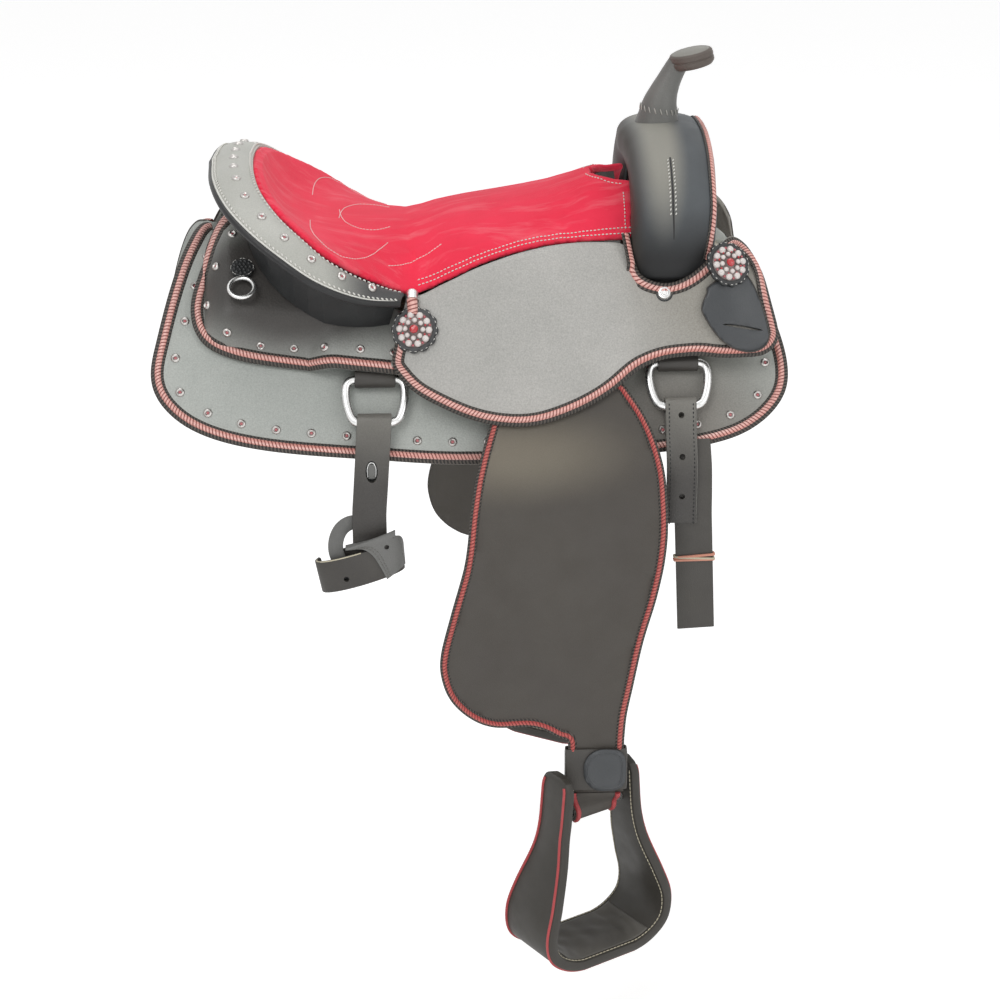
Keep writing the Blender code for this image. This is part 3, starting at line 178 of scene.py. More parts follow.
SEAT_STROKES = [
    [(0.668, 0.355), (0.671, 0.623), (0.66, 0.8), (0.63, 0.9), (0.59, 0.9), (0.545, 0.78),
     (0.504, 0.545)],
    [(0.593, -0.096), (0.589, 0.053), (0.581, 0.184), (0.565, 0.279), (0.547, 0.332), (0.52, 0.334),
     (0.498, 0.286)],
    [(0.504, -0.816), (0.484, -0.792), (0.466, -0.76), (0.443, -0.743), (0.416, -0.716),
     (0.387, -0.677)]]
STAPLE = [(-0.004, -0.006), (-0.0043, 0.002), (-0.0026, 0.0076), (0.0, 0.009),
          (0.0026, 0.0076), (0.0043, 0.002), (0.004, -0.006)]
STRIP_LEFT = [(-0.017, 0.0155), (-0.0005, 0.0165), (0.0098, 0.0093), (0.0175, -0.004),
              (0.0237, -0.0173)]
STRIP_RIGHT = [(0.0325, 0.0275), (0.0374, 0.026), (0.0402, 0.02), (0.0412, 0.0087),
               (0.0422, -0.0051)]
KNOT_LOOP = [(-0.001, -0.007, 0.036), (-0.013, -0.0066, 0.035), (-0.0215, -0.005, 0.029),
             (-0.0262, -0.002, 0.0195), (-0.0268, 0.002, 0.0094), (-0.0236, 0.004, -0.001)]
SEAT_CORNER = 6
KEEPER_SLOT = (0.826, 0.76)
UP = Vector((0, 0, 1))
FORWARD = Vector((1, 0, 0))


# Studio and camera
WORLD_LIGHT = 0.385
FLOOR_REACH, FLOOR_HEIGHT, FLOOR_GLOW = 12.0, -0.8, 0.56
SADDLE_MIDDLE = (0.05, 0, -0.2)
LAMPS = (("key", (-1.6, -2.6, 2.6), SADDLE_MIDDLE, 2.2, 41),
         ("fill", (2.6, -2.2, 1.2), SADDLE_MIDDLE, 2.4, 21.5),
         ("top", (0.0, 0.6, 3.0), SADDLE_MIDDLE, 2.6, 30),
         ("low", (0.2, -2.6, -0.4), (0.1, 0, -0.4), 1.8, 8.6))
CAMERA_TURN = math.radians(-3), math.radians(21)
CAMERA_AIM = Vector((0.097, 0.0, -0.283))
CAMERA_DISTANCE, CAMERA_LENS = 2.6, 86.67


def smoothstep(value):
    value = min(max(value, 0.0), 1.0)
    return value * value * (3 - 2 * value)


def spine_rise(x):
    if x < 0:
        return LOIN_RISE * (x / LOIN_X) ** 2
    return WITHER_RISE * smoothstep(x / WITHER_X)


def back_radius():
    return SIDE_START / (SIDE_SLOPE - CROWN_SLOPE)


def horseback(x, s, lift, side):
    """Point at x along the spine, s down the side and lift off the horse's back."""
    angle = CROWN_SLOPE + min(s, SIDE_START) / back_radius()
    flat = max(s - SIDE_START, 0.0)
    y = back_radius() * (math.sin(angle) - math.sin(CROWN_SLOPE)) + flat * math.cos(SIDE_SLOPE)
    z = -back_radius() * (math.cos(CROWN_SLOPE) - math.cos(angle)) - flat * math.sin(SIDE_SLOPE)
    z += spine_rise(x) * (1 - smoothstep(s / RISE_FADE))
    return Vector((x, side * (y + lift * math.sin(angle)), z + lift * math.cos(angle)))


def flat_side(x, s, lift, side):
    """Like horseback, on the plane of the flat side, which the stirrup leather swings in."""
    foot = horseback(x, SIDE_START, lift, side)
    down = s - SIDE_START
    return foot + Vector((0, side * down * math.cos(SIDE_SLOPE), -down * math.sin(SIDE_SLOPE)))


def hanging(x, s, lift, side):
    """The fender's shape: flat along the side, then bending down to hang nearly upright."""
    if s <= FENDER_BEND_S:
        return flat_side(x, s, lift, side)
    start = flat_side(x, FENDER_BEND_S, 0.0, side)
    turn = min((s - FENDER_BEND_S) / FENDER_BEND_R, FENDER_HANG - SIDE_SLOPE)
    angle = SIDE_SLOPE + turn
    y = FENDER_BEND_R * (math.sin(angle) - math.sin(SIDE_SLOPE))
    z = -FENDER_BEND_R * (math.cos(SIDE_SLOPE) - math.cos(angle))
    rest = s - FENDER_BEND_S - FENDER_BEND_R * turn
    y += rest * math.cos(angle) + lift * math.sin(angle)
    z += -rest * math.sin(angle) + lift * math.cos(angle)
    return start + Vector((0, side * y, z))


def side_normal(side):
    return Vector((0, side * math.sin(SIDE_SLOPE), math.cos(SIDE_SLOPE)))


def spline(points, t):
    """Point at t from 0 to 1 on the smooth curve through the given points."""
    count = len(points) - 1
    place = min(max(t, 0.0), 1.0) * count
    index = min(int(place), count - 1)
    local = place - index
    b, c = Vector(points[index]), Vector(points[index + 1])
    a = Vector(points[index - 1]) if index > 0 else 2 * b - c
    d = Vector(points[index + 2]) if index + 2 <= count else 2 * c - b
    return 0.5 * (2 * b + (c - a) * local + (2 * a - 5 * b + 4 * c - d) * local ** 2
                  + (3 * b - a - 3 * c + d) * local ** 3)


def closed_curve(points, per_span):
    """The smooth closed outline through the points, with per_span points to each stretch."""
    loop = [points[-1]] + list(points) + [points[0], points[1]]
    result = []
    for index in range(1, len(points) + 1):
        for step in range(per_span):
            t = (index + step / per_span) / (len(loop) - 1)
            result.append(spline(loop, t))
    return result


def grid_lines(low, high, step):
    first = math.ceil((low + step * 0.2) / step)
    last = math.floor((high - step * 0.2) / step)
    return [index * step for index in range(first, last + 1)]


def place_on(point, normal, up=UP):
    """Matrix that stands a piece on the point, its own Z along the normal."""
    z_axis = normal.normalized()
    x_axis = up.cross(z_axis).normalized()
    y_axis = z_axis.cross(x_axis)
    matrix = Matrix((x_axis, y_axis, z_axis)).transposed().to_4x4()
    matrix.translation = point
    return matrix


def side_name(side):
    return "R" if side < 0 else "L"


def circle(count, radius=1.0, other=None, phase=0.0):
    """Pairs (cosine, sine) at even steps round a circle or an ellipse."""
    other = radius if other is None else other
    angles = (2 * math.pi * (step + phase) / count for step in range(count))
    return [(radius * math.cos(angle), other * math.sin(angle)) for angle in angles]


def seat_point(u, w, side=1):
    """Seat surface: u from the front to the cantle's peak, w from -1 to 1 across."""
    centre = spline([(rib[0][0], 0.0, rib[0][1]) for rib in SEAT_RIBS], u)
    edge = spline([rib[1] for rib in SEAT_RIBS], u)
    reach = abs(w)
    return Vector((centre.x + (edge.x - centre.x) * reach ** 2, side * edge.y * w,
                   centre.z + (edge.z - centre.z) * reach ** 2.2))


def roll_edges(t):
    """Inner and outer edge of the cantle roll, t from 0 at the corner to 1 at the peak."""
    first = SEAT_CORNER / (len(SEAT_RIBS) - 1)
    rim = spline([rib[1] for rib in SEAT_RIBS], first + (1 - first) * t)
    outer = spline(ROLL_OUTER, t)
    inner = rim + (outer - rim).normalized() * (SEAT_T + LAYER)
    return inner, outer


def roll_thickness(t, v):
    inner, outer = roll_edges(t)
    fullness = min(1.0, (outer - inner).length / 0.03)
    return (ROLL_EDGE_T + (ROLL_T - ROLL_EDGE_T) * 4 * v * (1 - v)) * fullness


def roll_point(t, v, depth=0.0):
    """Point across the roll, v from its inner edge to its outer edge, depth 1 underneath."""
    inner, outer = roll_edges(t)
    point = inner.lerp(outer, v)
    point.z += ROLL_CROWN * 4 * v * (1 - v) - roll_thickness(t, v) * depth
    return point


def mirrored(surface, u):
    """Evaluate a right-hand curve of 0 to 1 over both sides: u runs right foot to left foot."""
    side = -1 if u < 0.5 else 1
    point = surface(1 - abs(2 * u - 1))
    return Vector((point.x, side * point.y, point.z))


def rear_jockey_lift(x, s):
    """Lift of the rear jockey: flat on the skirt, raised over the bar ends and the rigging."""
    over_bar = smoothstep((0.15 - s) / 0.036) * smoothstep((x + 0.212) / 0.034)
    over_bar *= smoothstep((s + 0.01) / 0.03)
    over_rigging = smoothstep((x + 0.112) / 0.04)
    rise = max(over_bar * (BAR_TOP + 0.0012), over_rigging * (RIGGING_TOP + LAYER))
    return max(REAR_JOCKEY_LIFT, rise)


def jockey_point(u, v, side):
    """Seat jockey: u from the rear corner to the front, v from the top edge to the bottom."""
    top = spline([rib[0] for rib in JOCKEY_RIBS], u)
    x, s = spline([rib[1] for rib in JOCKEY_RIBS], u)
    bottom = horseback(x, s, JOCKEY_LIFT, 1)
    bulge = 0.16 * (bottom - top).length * v * (1 - v)
    point = top.lerp(bottom, v) + Vector((0, 0.62, 0.78)) * bulge
    return Vector((point.x, side * point.y, point.z))


def jockey_place(u, v, side, rise):
    """Place on the outer face of the seat jockey."""
    step = 0.01
    point = jockey_point(u, v, side)
    along = jockey_point(u + step, v, side) - jockey_point(u - step, v, side)
    down = jockey_point(u, v + step, side) - jockey_point(u, v - step, side)
    normal = along.cross(down).normalized()
    if normal.y * side < 0:
        normal = -normal
    return place_on(point + normal * (JOCKEY_T + rise), normal)


def fork_surface(t, angle, grow, side=1):
    """Point on the fork, t from 0 at its top to 1 at its foot, angle 0 in front, 90 outside."""
    outer = spline([row[0] for row in FORK_STATIONS], t)
    inner = spline([row[1] for row in FORK_STATIONS], t)
    rear, front = spline([(row[2], row[3]) for row in FORK_STATIONS], t)
    plump = 0.75 + 0.25 * smoothstep((t - 0.45) / 0.3)
    middle = (outer + inner) / 2
    radial = (outer - inner) / 2
    radial *= 1 + grow / radial.length
    half = (front - rear) / 2 + grow
    cosine, sine = math.cos(math.radians(angle)), math.sin(math.radians(angle))
    across = math.copysign(abs(cosine) ** plump, cosine)
    height = math.copysign(abs(sine) ** plump, sine)
    y, z = middle + radial * height
    return Vector(((front + rear) / 2 + half * across, side * y, z))


def horse_plane(x, s, lift, side, about):
    """Point on the plane that touches the horse's back along the line s = about."""
    step = 0.001
    foot = horseback(x, about, lift, side)
    down = (horseback(x, about + step, lift, side) - horseback(x, about - step, lift, side))
    return foot + down.normalized() * (s - about)


# Materials


class Shader:
    """A Principled material whose inputs come from nodes over the piece's own coordinates."""

    def __init__(self, name, space="Object"):
        self.material = bpy.data.materials.new(name)
        self.material.use_nodes = True
        self.tree = self.material.node_tree
        self.shader = self.tree.nodes["Principled BSDF"]
        self.place = self.add("TexCoord").outputs[space]

    def add(self, kind, inputs=None, **settings):
        node = self.tree.nodes.new("ShaderNode" + kind)
        for key, value in settings.items():
            setattr(node, key, value)
        for key, value in (inputs or {}).items():
            self.put(node.inputs[key], value)
        return node

    def put(self, socket, value):
        if isinstance(value, bpy.types.NodeSocket):
            self.tree.links.new(value, socket)
        else:
            socket.default_value = value

    def set(self, **values):
        for key, value in values.items():
            self.put(self.shader.inputs[key.replace("_", " ")], value)

    def noise(self, scale, detail=3.0, roughness=0.55, place=None):
        return self.add("TexNoise", {"Vector": place or self.place, "Scale": scale,
                                     "Detail": detail, "Roughness": roughness}).outputs["Fac"]

    def cells(self, scale, feature="F1"):
        return self.add("TexVoronoi", {"Vector": self.place, "Scale": scale},
                        feature=feature).outputs["Distance"]

    def range(self, value, low, high, start=0.0, end=1.0):
        return self.add("MapRange", {"Value": value, "From Min": start, "From Max": end,
                                     "To Min": low, "To Max": high}).outputs["Result"]

    def math(self, operation, first, second=0.0):
        return self.add("Math", {0: first, 1: second}, operation=operation).outputs[0]

    def mix(self, factor, first, second):
        node = self.add("Mix", data_type="RGBA")
        self.put(node.inputs[0], factor)
        self.put(node.inputs[6], (*first, 1.0) if isinstance(first, tuple) else first)
        self.put(node.inputs[7], (*second, 1.0) if isinstance(second, tuple) else second)
        return node.outputs[2]

    def bump(self, height, strength, depth, base=None):
        node = self.add("Bump", {"Height": height, "Strength": strength, "Distance": depth})
        if base:
            self.put(node.inputs["Normal"], base)
        return node.outputs["Normal"]


def leather(name, colour, dark, roughness, grain=620.0, depth=0.00022, coat=0.0, fade=None,
            edge=None, painted_highlight=None, speck=0.1, gloss=0.45):
    """Pebbled leather: small cells, finer pores, and colour that drifts over a hand's breadth.

    Three spots (centre, scale, near, far, colour) paint light or shade into the colour around a
    place,
    on both sides of the saddle alike: fade paints shade or light, edge paints shade, the third a
    highlight.
    """
    made = Shader(name)
    drift = made.range(made.noise(11.0, 4.0), 0.0, 1.0, 0.35, 0.68)
    pores = made.range(made.noise(grain * 1.6, 2.0), 0.0, 1.0, 0.3, 0.7)
    cells = made.cells(grain)
    tone = made.mix(drift, dark, colour)
    # Painted shade and painted highlights, blended into the colour round each spot.
    for spot in (fade, edge, painted_highlight):
        if spot is None:
            continue
        centre, scale, near, far, other = spot
        parts = made.add("SeparateXYZ", {"Vector": made.place}).outputs
        folded = made.add("CombineXYZ",
                          {0: parts[0], 1: made.math("ABSOLUTE", parts[1]), 2: parts[2]})
        away = made.add("VectorMath", {0: folded.outputs[0], 1: centre}, operation="SUBTRACT")
        scaled = made.add("VectorMath", {0: away.outputs[0], 1: scale}, operation="MULTIPLY")
        reach = made.add("VectorMath", {0: scaled.outputs[0]}, operation="LENGTH").outputs["Value"]
        smooth = made.add("MapRange", {"Value": reach, "From Min": near, "From Max": far,
                                       "To Min": 1.0, "To Max": 0.0},
                         interpolation_type="SMOOTHSTEP")
        tone = made.mix(smooth.outputs["Result"], tone, other)
    grained = made.add("VectorMath",
                       {0: tone, "Scale": made.range(pores, 1.05 - speck, 1.05 + speck)},
                       operation="SCALE")
    made.set(Base_Color=grained.outputs["Vector"])
    made.set(Roughness=made.range(made.noise(38.0, 3.0), roughness - 0.06, roughness + 0.07, 0.3,
                                  0.7))
    first = made.bump(cells, 0.55, depth)
    made.set(Normal=made.bump(pores, 0.25, depth * 0.6, first))
    made.shader.inputs["Coat Weight"].default_value = coat
    made.shader.inputs["Coat Roughness"].default_value = 0.22
    made.shader.inputs["Specular IOR Level"].default_value = gloss
    return made.material


def suede(name, colour, pale, dark):
    """Napped suede with brushed pale strokes."""
    made = Shader(name)
    nap = made.noise(2600.0, 2.0)
    warp = made.add("TexNoise", {"Vector": made.place, "Scale": 9.0, "Detail": 2.0})
    moved = made.add("VectorMath", {0: warp.outputs["Color"], 1: (0.07, 0.07, 0.07), 2: made.place},
                     operation="MULTIPLY_ADD")
    stretch = made.add("Mapping", {"Vector": moved.outputs[0], "Rotation": (0, 0, 0.5),
                                   "Scale": (7.0, 46.0, 20.0)})
    strokes = made.noise(1.6, 5.0, 0.62, stretch.outputs[0])
    brushed = made.range(strokes, 0.0, 0.42, 0.51, 0.78)
    shade = made.range(made.noise(16.0, 3.0), 0.0, 1.0, 0.35, 0.7)
    base = made.mix(shade, dark, colour)
    made.set(Base_Color=made.mix(made.math("ADD", brushed, made.range(nap, -0.05, 0.09)), base,
                                 pale))
    made.set(Roughness=made.range(nap, 0.82, 0.96))
    made.set(Normal=made.bump(nap, 0.5, 0.0003))
    made.shader.inputs["Sheen Weight"].default_value = 0.35
    made.shader.inputs["Sheen Roughness"].default_value = 0.45
    made.shader.inputs["Sheen Tint"].default_value = (1.0, 0.55, 0.6, 1.0)
    made.shader.inputs["Specular IOR Level"].default_value = 0.25
    return made.material


def fleece(name):
    made = Shader(name)
    curl = made.noise(240.0, 4.0, 0.7)
    clumps = made.cells(95.0, "SMOOTH_F1")
    made.set(Base_Color=made.mix(made.range(clumps, 0.0, 1.0, 0.1, 0.8), (0.74, 0.69, 0.57),
                                 (0.5, 0.45, 0.35)))
    made.set(Roughness=made.range(curl, 0.88, 1.0))
    first = made.bump(clumps, 0.9, 0.0035)
    made.set(Normal=made.bump(curl, 0.8, 0.0012, first))
    made.shader.inputs["Sheen Weight"].default_value = 0.4
    return made.material


def metal(name, colour, low, high):
    """Bright plated steel with faint wear."""
    made = Shader(name)
    wear = made.noise(420.0, 4.0)
    made.set(Base_Color=made.mix(made.range(wear, 0.0, 0.4), colour,
                                 tuple(value * 0.72 for value in colour)))
    made.set(Roughness=made.range(wear, low, high, 0.3, 0.7))
    made.set(Normal=made.bump(wear, 0.12, 0.0001))
    made.shader.inputs["Metallic"].default_value = 1.0
    return made.material


def rawhide(name):
    made = Shader(name)
    stretch = made.add("Mapping", {"Vector": made.place, "Scale": (3.0, 26.0, 26.0)})
    fibres = made.noise(7.0, 5.0, 0.6, stretch.outputs[0])
    made.set(Base_Color=made.mix(fibres, (0.075, 0.055, 0.038), (0.16, 0.122, 0.085)))
    made.set(Roughness=made.range(fibres, 0.5, 0.7))
    made.set(Normal=made.bump(fibres, 0.4, 0.0006))
    return made.material


def rope(name, colour, pale, dark, pitch, share):
    """Laid cord: slanting strands along the piece's own length, which its UV map counts."""
    made = Shader(name, "UV")
    parts = made.add("SeparateXYZ", {"Vector": made.place})
    along, around = parts.outputs[0], parts.outputs[1]
    slant = made.math("MULTIPLY_ADD", along, 1.0 / pitch)
    slant.node.inputs[2].default_value = 0.0
    turned = made.math("ADD", slant, made.math("MULTIPLY", around, 1.6))
    strand = made.math("PINGPONG", made.math("FRACT", turned), 0.5)
    ridge = made.range(strand, 0.0, 1.0, share, share + 0.16)
    speck = made.noise(3.0, 3.0, 0.6)
    tone = made.mix(made.range(speck, 0.0, 1.0, 0.35, 0.65), colour, pale)
    made.set(Base_Color=made.mix(ridge, dark, tone))
    made.set(Roughness=made.range(speck, 0.5, 0.7))
    made.set(Normal=made.bump(ridge, 0.8, 0.0007))
    return made.material


def thread(name, colour):
    made = Shader(name)
    twist = made.noise(1500.0, 2.0)
    made.set(Base_Color=made.mix(made.range(twist, 0.0, 0.5), colour,
                                 tuple(value * 0.6 for value in colour)))
    made.set(Roughness=made.range(twist, 0.6, 0.85))
    made.set(Normal=made.bump(twist, 0.4, 0.0002))
    return made.material


def gem(name, colour, roughness):
    made = Shader(name)
    cloud = made.noise(900.0, 2.0)
    made.set(Base_Color=made.mix(made.range(cloud, 0.0, 0.5), colour,
                                 tuple(value * 0.55 for value in colour)))
    made.set(Roughness=made.range(cloud, roughness, roughness + 0.08))
    made.shader.inputs["Coat Weight"].default_value = 0.6
    made.shader.inputs["Coat Roughness"].default_value = 0.05
    return made.material


# Seat jockey: the fade is painted shade at its front end, by the swell.
GREY = leather("grey_leather", (0.47, 0.46, 0.436), (0.405, 0.4, 0.378), 0.5, 420.0, 0.0004,
               speck=0.14,
               fade=((0.31, 0.0, 0.02), (1.0, 0.0, 0.7), 0.03, 0.13, (0.3, 0.285, 0.25)))
# Cantle roll: the fade is painted shade at both its front ends.
GREY_SMOOTH = leather("roll_leather", (0.49, 0.49, 0.45), (0.43, 0.432, 0.395), 0.46, 600.0, 0.0002,
                      speck=0.1,
                      fade=((0.0, 0.0, 0.0), (1.0, 0.0, 0.0), 0.035, 0.085, (0.07, 0.07, 0.07)))
# Skirt: the fade is a painted shadow round the front dee, under the seat jockey.
SKIRT_GREY = leather("skirt_leather", (0.45, 0.47, 0.44), (0.385, 0.405, 0.38), 0.48, 460.0, 0.0003,
                     speck=0.12,
                     fade=((0.26, 0.22, -0.11), (0.8, 1.0, 1.0), 0.045, 0.15, (0.19, 0.175, 0.155)))
# Rear jockey: the fade is painted shade under the cantle.
JOCKEY_GREY = leather("jockey_leather", (0.44, 0.452, 0.425), (0.38, 0.39, 0.365), 0.48, 460.0,
                      0.0003, speck=0.12,
                      fade=((-0.112, 0.1, -0.005), (0.62, 1.0, 1.0), 0.048, 0.096,
                            (0.052, 0.048, 0.044)))
# Fender: the fade is painted light, lighter on its upper part.
FENDER_BROWN = leather("fender_leather", (0.063, 0.056, 0.047), (0.056, 0.049, 0.042), 0.55, 1000.0,
                       0.0001,
                       fade=((0.1, 0.21, -0.155), (0.4, 1.0, 1.0), 0.005, 0.06,
                             (0.168, 0.148, 0.114)))
STIRRUP_BROWN = leather("stirrup_leather", (0.038, 0.034, 0.028), (0.032, 0.029, 0.024), 0.52,
                        1000.0, 0.00012)
STRAP_BROWN = leather("strap_leather", (0.068, 0.063, 0.055), (0.045, 0.041, 0.037), 0.47, 900.0,
                      0.00016)
# Billets: the fade is painted shade, darker towards the bottom.
STRAP_GREY = leather("strap_grey_leather", (0.225, 0.217, 0.194), (0.175, 0.169, 0.15), 0.46, 500.0,
                     0.0003,
                     fade=((0.0, 0.0, -0.235), (0.0, 0.0, 1.0), 0.04, 0.14, (0.054, 0.05, 0.046)))
KNOT_GREY = leather("knot_grey_leather", (0.19, 0.19, 0.182), (0.13, 0.13, 0.124), 0.44, 900.0,
                    0.00016)
TREAD = leather("tread_leather", (0.125, 0.118, 0.105), (0.07, 0.066, 0.06), 0.5, 900.0, 0.00016)
BLACK = leather("black_leather", (0.038, 0.04, 0.041), (0.024, 0.025, 0.026), 0.4, 1000.0, 0.00012)
LIP = leather("lip_leather", (0.014, 0.014, 0.015), (0.01, 0.01, 0.01), 0.42, 1000.0, 0.00012)
PATCH = leather("patch_leather", (0.068, 0.072, 0.076), (0.046, 0.05, 0.054), 0.42, 900.0, 0.00016)
# Swell: painted shade low down and at its rear side, and a painted highlight on its top.
SWELL_BLACK = leather("swell_leather", (0.122, 0.133, 0.142), (0.098, 0.105, 0.11), 0.5, 1300.0,
                      0.00005, gloss=0.16,
                      fade=((0.0, 0.0, -0.02), (0.0, 0.0, 1.0), 0.03, 0.11, (0.036, 0.037, 0.038)),
                      edge=((0.196, 0.0, 0.0), (1.0, 0.0, 0.0), 0.024, 0.041,
                            (0.058, 0.054, 0.048)),
                      painted_highlight=((0.252, 0.0, 0.132), (3.6, 0.0, 1.0), 0.026, 0.108,
                             (0.3, 0.292, 0.258)))
HORN_GREY = leather("horn_leather", (0.165, 0.165, 0.155), (0.12, 0.12, 0.112), 0.44, 700.0,
                    0.00025)
CAP_TOP = leather("cap_top_leather", (0.26, 0.252, 0.225), (0.2, 0.192, 0.17), 0.46, 700.0, 0.0002)
CAP_EDGE = leather("cap_edge_leather", (0.14, 0.116, 0.1), (0.09, 0.074, 0.064), 0.55, 700.0,
                   0.0002)
RED = suede("red_suede", (0.985, 0.036, 0.088), (1.0, 0.33, 0.37), (0.9, 0.026, 0.068))
WOOL = fleece("wool")
STEEL = metal("bright_steel", (0.74, 0.74, 0.73), 0.22, 0.36)
EYELET = metal("eyelet_metal", (0.52, 0.5, 0.48), 0.28, 0.42)
PLATE = metal("plate_metal", (0.14, 0.11, 0.105), 0.3, 0.45)
WOOD = rawhide("tree_rawhide")
LACE = rope("dark_lacing", (0.07, 0.06, 0.05), (0.125, 0.105, 0.09), (0.014, 0.012, 0.011), 0.0036,
            0.16)
ROPE = rope("salmon_rope", (0.76, 0.31, 0.26), (1.0, 0.68, 0.62), (0.3, 0.075, 0.062), 0.0036, 0.07)
RED_ROPE = rope("red_rope", (0.5, 0.075, 0.07), (0.64, 0.19, 0.16), (0.22, 0.03, 0.03), 0.0034,
                0.06)
PIPING = leather("red_piping", (0.48, 0.07, 0.075), (0.36, 0.045, 0.048), 0.5, 900.0, 0.0001)
WHITE_THREAD = thread("white_thread", (0.86, 0.85, 0.8))
CREAM_THREAD = thread("cream_thread", (0.7, 0.64, 0.48))
PALE_THREAD = thread("pale_thread", (1.0, 0.68, 0.68))
GREY_THREAD = thread("grey_thread", (0.185, 0.18, 0.165))
DART_THREAD = thread("dart_thread", (0.52, 0.51, 0.47))
PEACH_THREAD = thread("peach_thread", (0.8, 0.36, 0.26))
DARK_THREAD = thread("dark_thread", (0.03, 0.03, 0.03))
RED_GEM = gem("red_gem", (0.65, 0.03, 0.04), 0.08)
PINK_GEM = gem("pink_gem", (0.56, 0.12, 0.14), 0.16)
PEARL = gem("pearl", (0.86, 0.8, 0.77), 0.2)


# Building blocks


def add_piece(name, mesh, finish, body, slot):
    made = bpy.data.objects.new(name, mesh)
    bpy.context.scene.collection.objects.link(made)
    mesh.materials.append(finish)
    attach(made, body)
    return made


def finish_mesh(name, bm, facing=None, sharp=40):
    bmesh.ops.remove_doubles(bm, verts=bm.verts, dist=1e-6)
    if facing is None:
        bmesh.ops.recalc_face_normals(bm, faces=bm.faces)
    else:
        bm.normal_update()
        total = sum((face.normal * face.calc_area() for face in bm.faces), Vector())
        if total.dot(facing) < 0:
            bmesh.ops.reverse_faces(bm, faces=bm.faces)
    return to_mesh(name, bm, sharp)


def to_mesh(name, bm, sharp):
    mesh = bpy.data.meshes.new(name)
    bm.to_mesh(mesh)
    bm.free()
    mesh.shade_smooth()
    mesh.set_sharp_from_angle(angle=math.radians(sharp))
    return mesh


def thicken(made, thickness, offset=1.0):
    solid = made.modifiers.new("thickness", "SOLIDIFY")
    solid.thickness = thickness
    solid.offset = offset
    solid.use_even_offset = True


def panel(name, finish, body, slot, outline, surface, facing, thickness, step, node=None):
    """A leather panel cut to a flat outline, laid on surface(x, s) and thickened outward."""
    bm = bmesh.new()
    bm.faces.new([bm.verts.new((point[0], point[1], 0)) for point in outline])
    for axis in (0, 1):
        values = [point[axis] for point in outline]
        normal = Vector((1 - axis, axis, 0))
        for line in grid_lines(min(values), max(values), step[axis]):
            bmesh.ops.bisect_plane(bm, geom=bm.verts[:] + bm.edges[:] + bm.faces[:],
                                   plane_co=normal * line, plane_no=normal, dist=1e-5)
    for vert in bm.verts:
        vert.co = surface(vert.co.x, vert.co.y)
    bmesh.ops.triangulate(bm, faces=[face for face in bm.faces if len(face.verts) > 4])
    made = add_piece(name, finish_mesh(name, bm, facing), finish, body, slot)
    thicken(made, thickness)
    if node:
        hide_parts(node)
    return made


def grid_piece(name, finish, body, slot, surface, along, across, facing, thickness, near=0.0,
               offset=1.0, node=None, sharp=60):
    """A sheet bent to surface(u, v), moved along its normals by near, then thickened."""
    bm = bmesh.new()
    bmesh.ops.create_grid(bm, x_segments=along, y_segments=across, size=0.5)
    for vert in bm.verts:
        vert.co = surface(vert.co.x + 0.5, vert.co.y + 0.5)
    mesh = finish_mesh(name, bm, facing, sharp)
    if near:
        normals = [vert.normal.copy() for vert in mesh.vertices]
        for vert, normal in zip(mesh.vertices, normals):
            vert.co += normal * near
    made = add_piece(name, mesh, finish, body, slot)
    if thickness:
        thicken(made, thickness, offset)
    if node:
        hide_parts(node)
    return made


def join_rings(bm, rings, closed=True, capped=True):
    """Faces from each ring of points to the next; closed rings are loops, capped ones a solid."""
    loops = [[bm.verts.new(point) for point in ring] for ring in rings]
    count = len(loops[0])
    for first, second in zip(loops, loops[1:]):
        for index in range(count if closed else count - 1):
            following = (index + 1) % count
            bm.faces.new((first[index], first[following], second[following], second[index]))
    if capped:
        bm.faces.new(loops[0])
        bm.faces.new(loops[-1])


def loft(name, finish, body, slot, rings, node=None, closed=True, capped=True, sharp=50):
    bm = bmesh.new()
    join_rings(bm, rings, closed, capped)
    made = add_piece(name, finish_mesh(name, bm, None, sharp), finish, body, slot)
    if node:
        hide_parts(node)
    return made


def resample(points, step, closed=False):
    """Points at even steps along a line, with the direction of the line at each."""
    points = [Vector(point) for point in points]
    if closed:
        points = points + [points[0]]
    lengths = lengths_along(points)
    count = max(2, round(lengths[-1] / step))
    result, index = [], 0
    for number in range(count + (0 if closed else 1)):
        target = lengths[-1] * number / count
        while index < len(points) - 2 and lengths[index + 1] < target:
            index += 1
        share = (target - lengths[index]) / max(1e-9, lengths[index + 1] - lengths[index])
        result.append(points[index].lerp(points[index + 1], share))
    return result


def surface_normal(surface, u, v, facing, step=0.002):
    along = surface(u + step, v) - surface(u - step, v)
    down = surface(u, v + step) - surface(u, v - step)
    normal = along.cross(down).normalized()
    return normal if normal.dot(facing) > 0 else -normal


def run_on(surface, flat, facing, lift, step=None):
    """Points and normals along a flat run, lifted off the surface."""
    if step:
        flat = resample([Vector((point[0], point[1], 0)) for point in flat], step)
    points, normals = [], []
    for point in flat:
        normal = surface_normal(surface, point[0], point[1], facing)
        points.append(surface(point[0], point[1]) + normal * lift)
        normals.append(normal)
    return points, normals


def smooth_run(points, rounds=2, closed=False):
    for _ in range(rounds):
        count = len(points)
        moved = []
        for index in range(count):
            if not closed and index in (0, count - 1):
                moved.append(points[index])
            else:
                after = points[(index + 1) % count]
                moved.append((points[index - 1] + points[index] * 2 + after) / 4)
        points = moved
    return points


def frames_along(points, normals, closed=False):
    """Direction, normal and sideways at each point of a line."""
    result = []
    count = len(points)
    for index in range(count):
        before = points[index - 1] if closed or index else points[index]
        after = points[(index + 1) % count] if closed or index < count - 1 else points[index]
        direction = (after - before).normalized()
        normal = (normals[index] - direction * normals[index].dot(direction)).normalized()
        result.append((direction, normal, direction.cross(normal)))
    return result


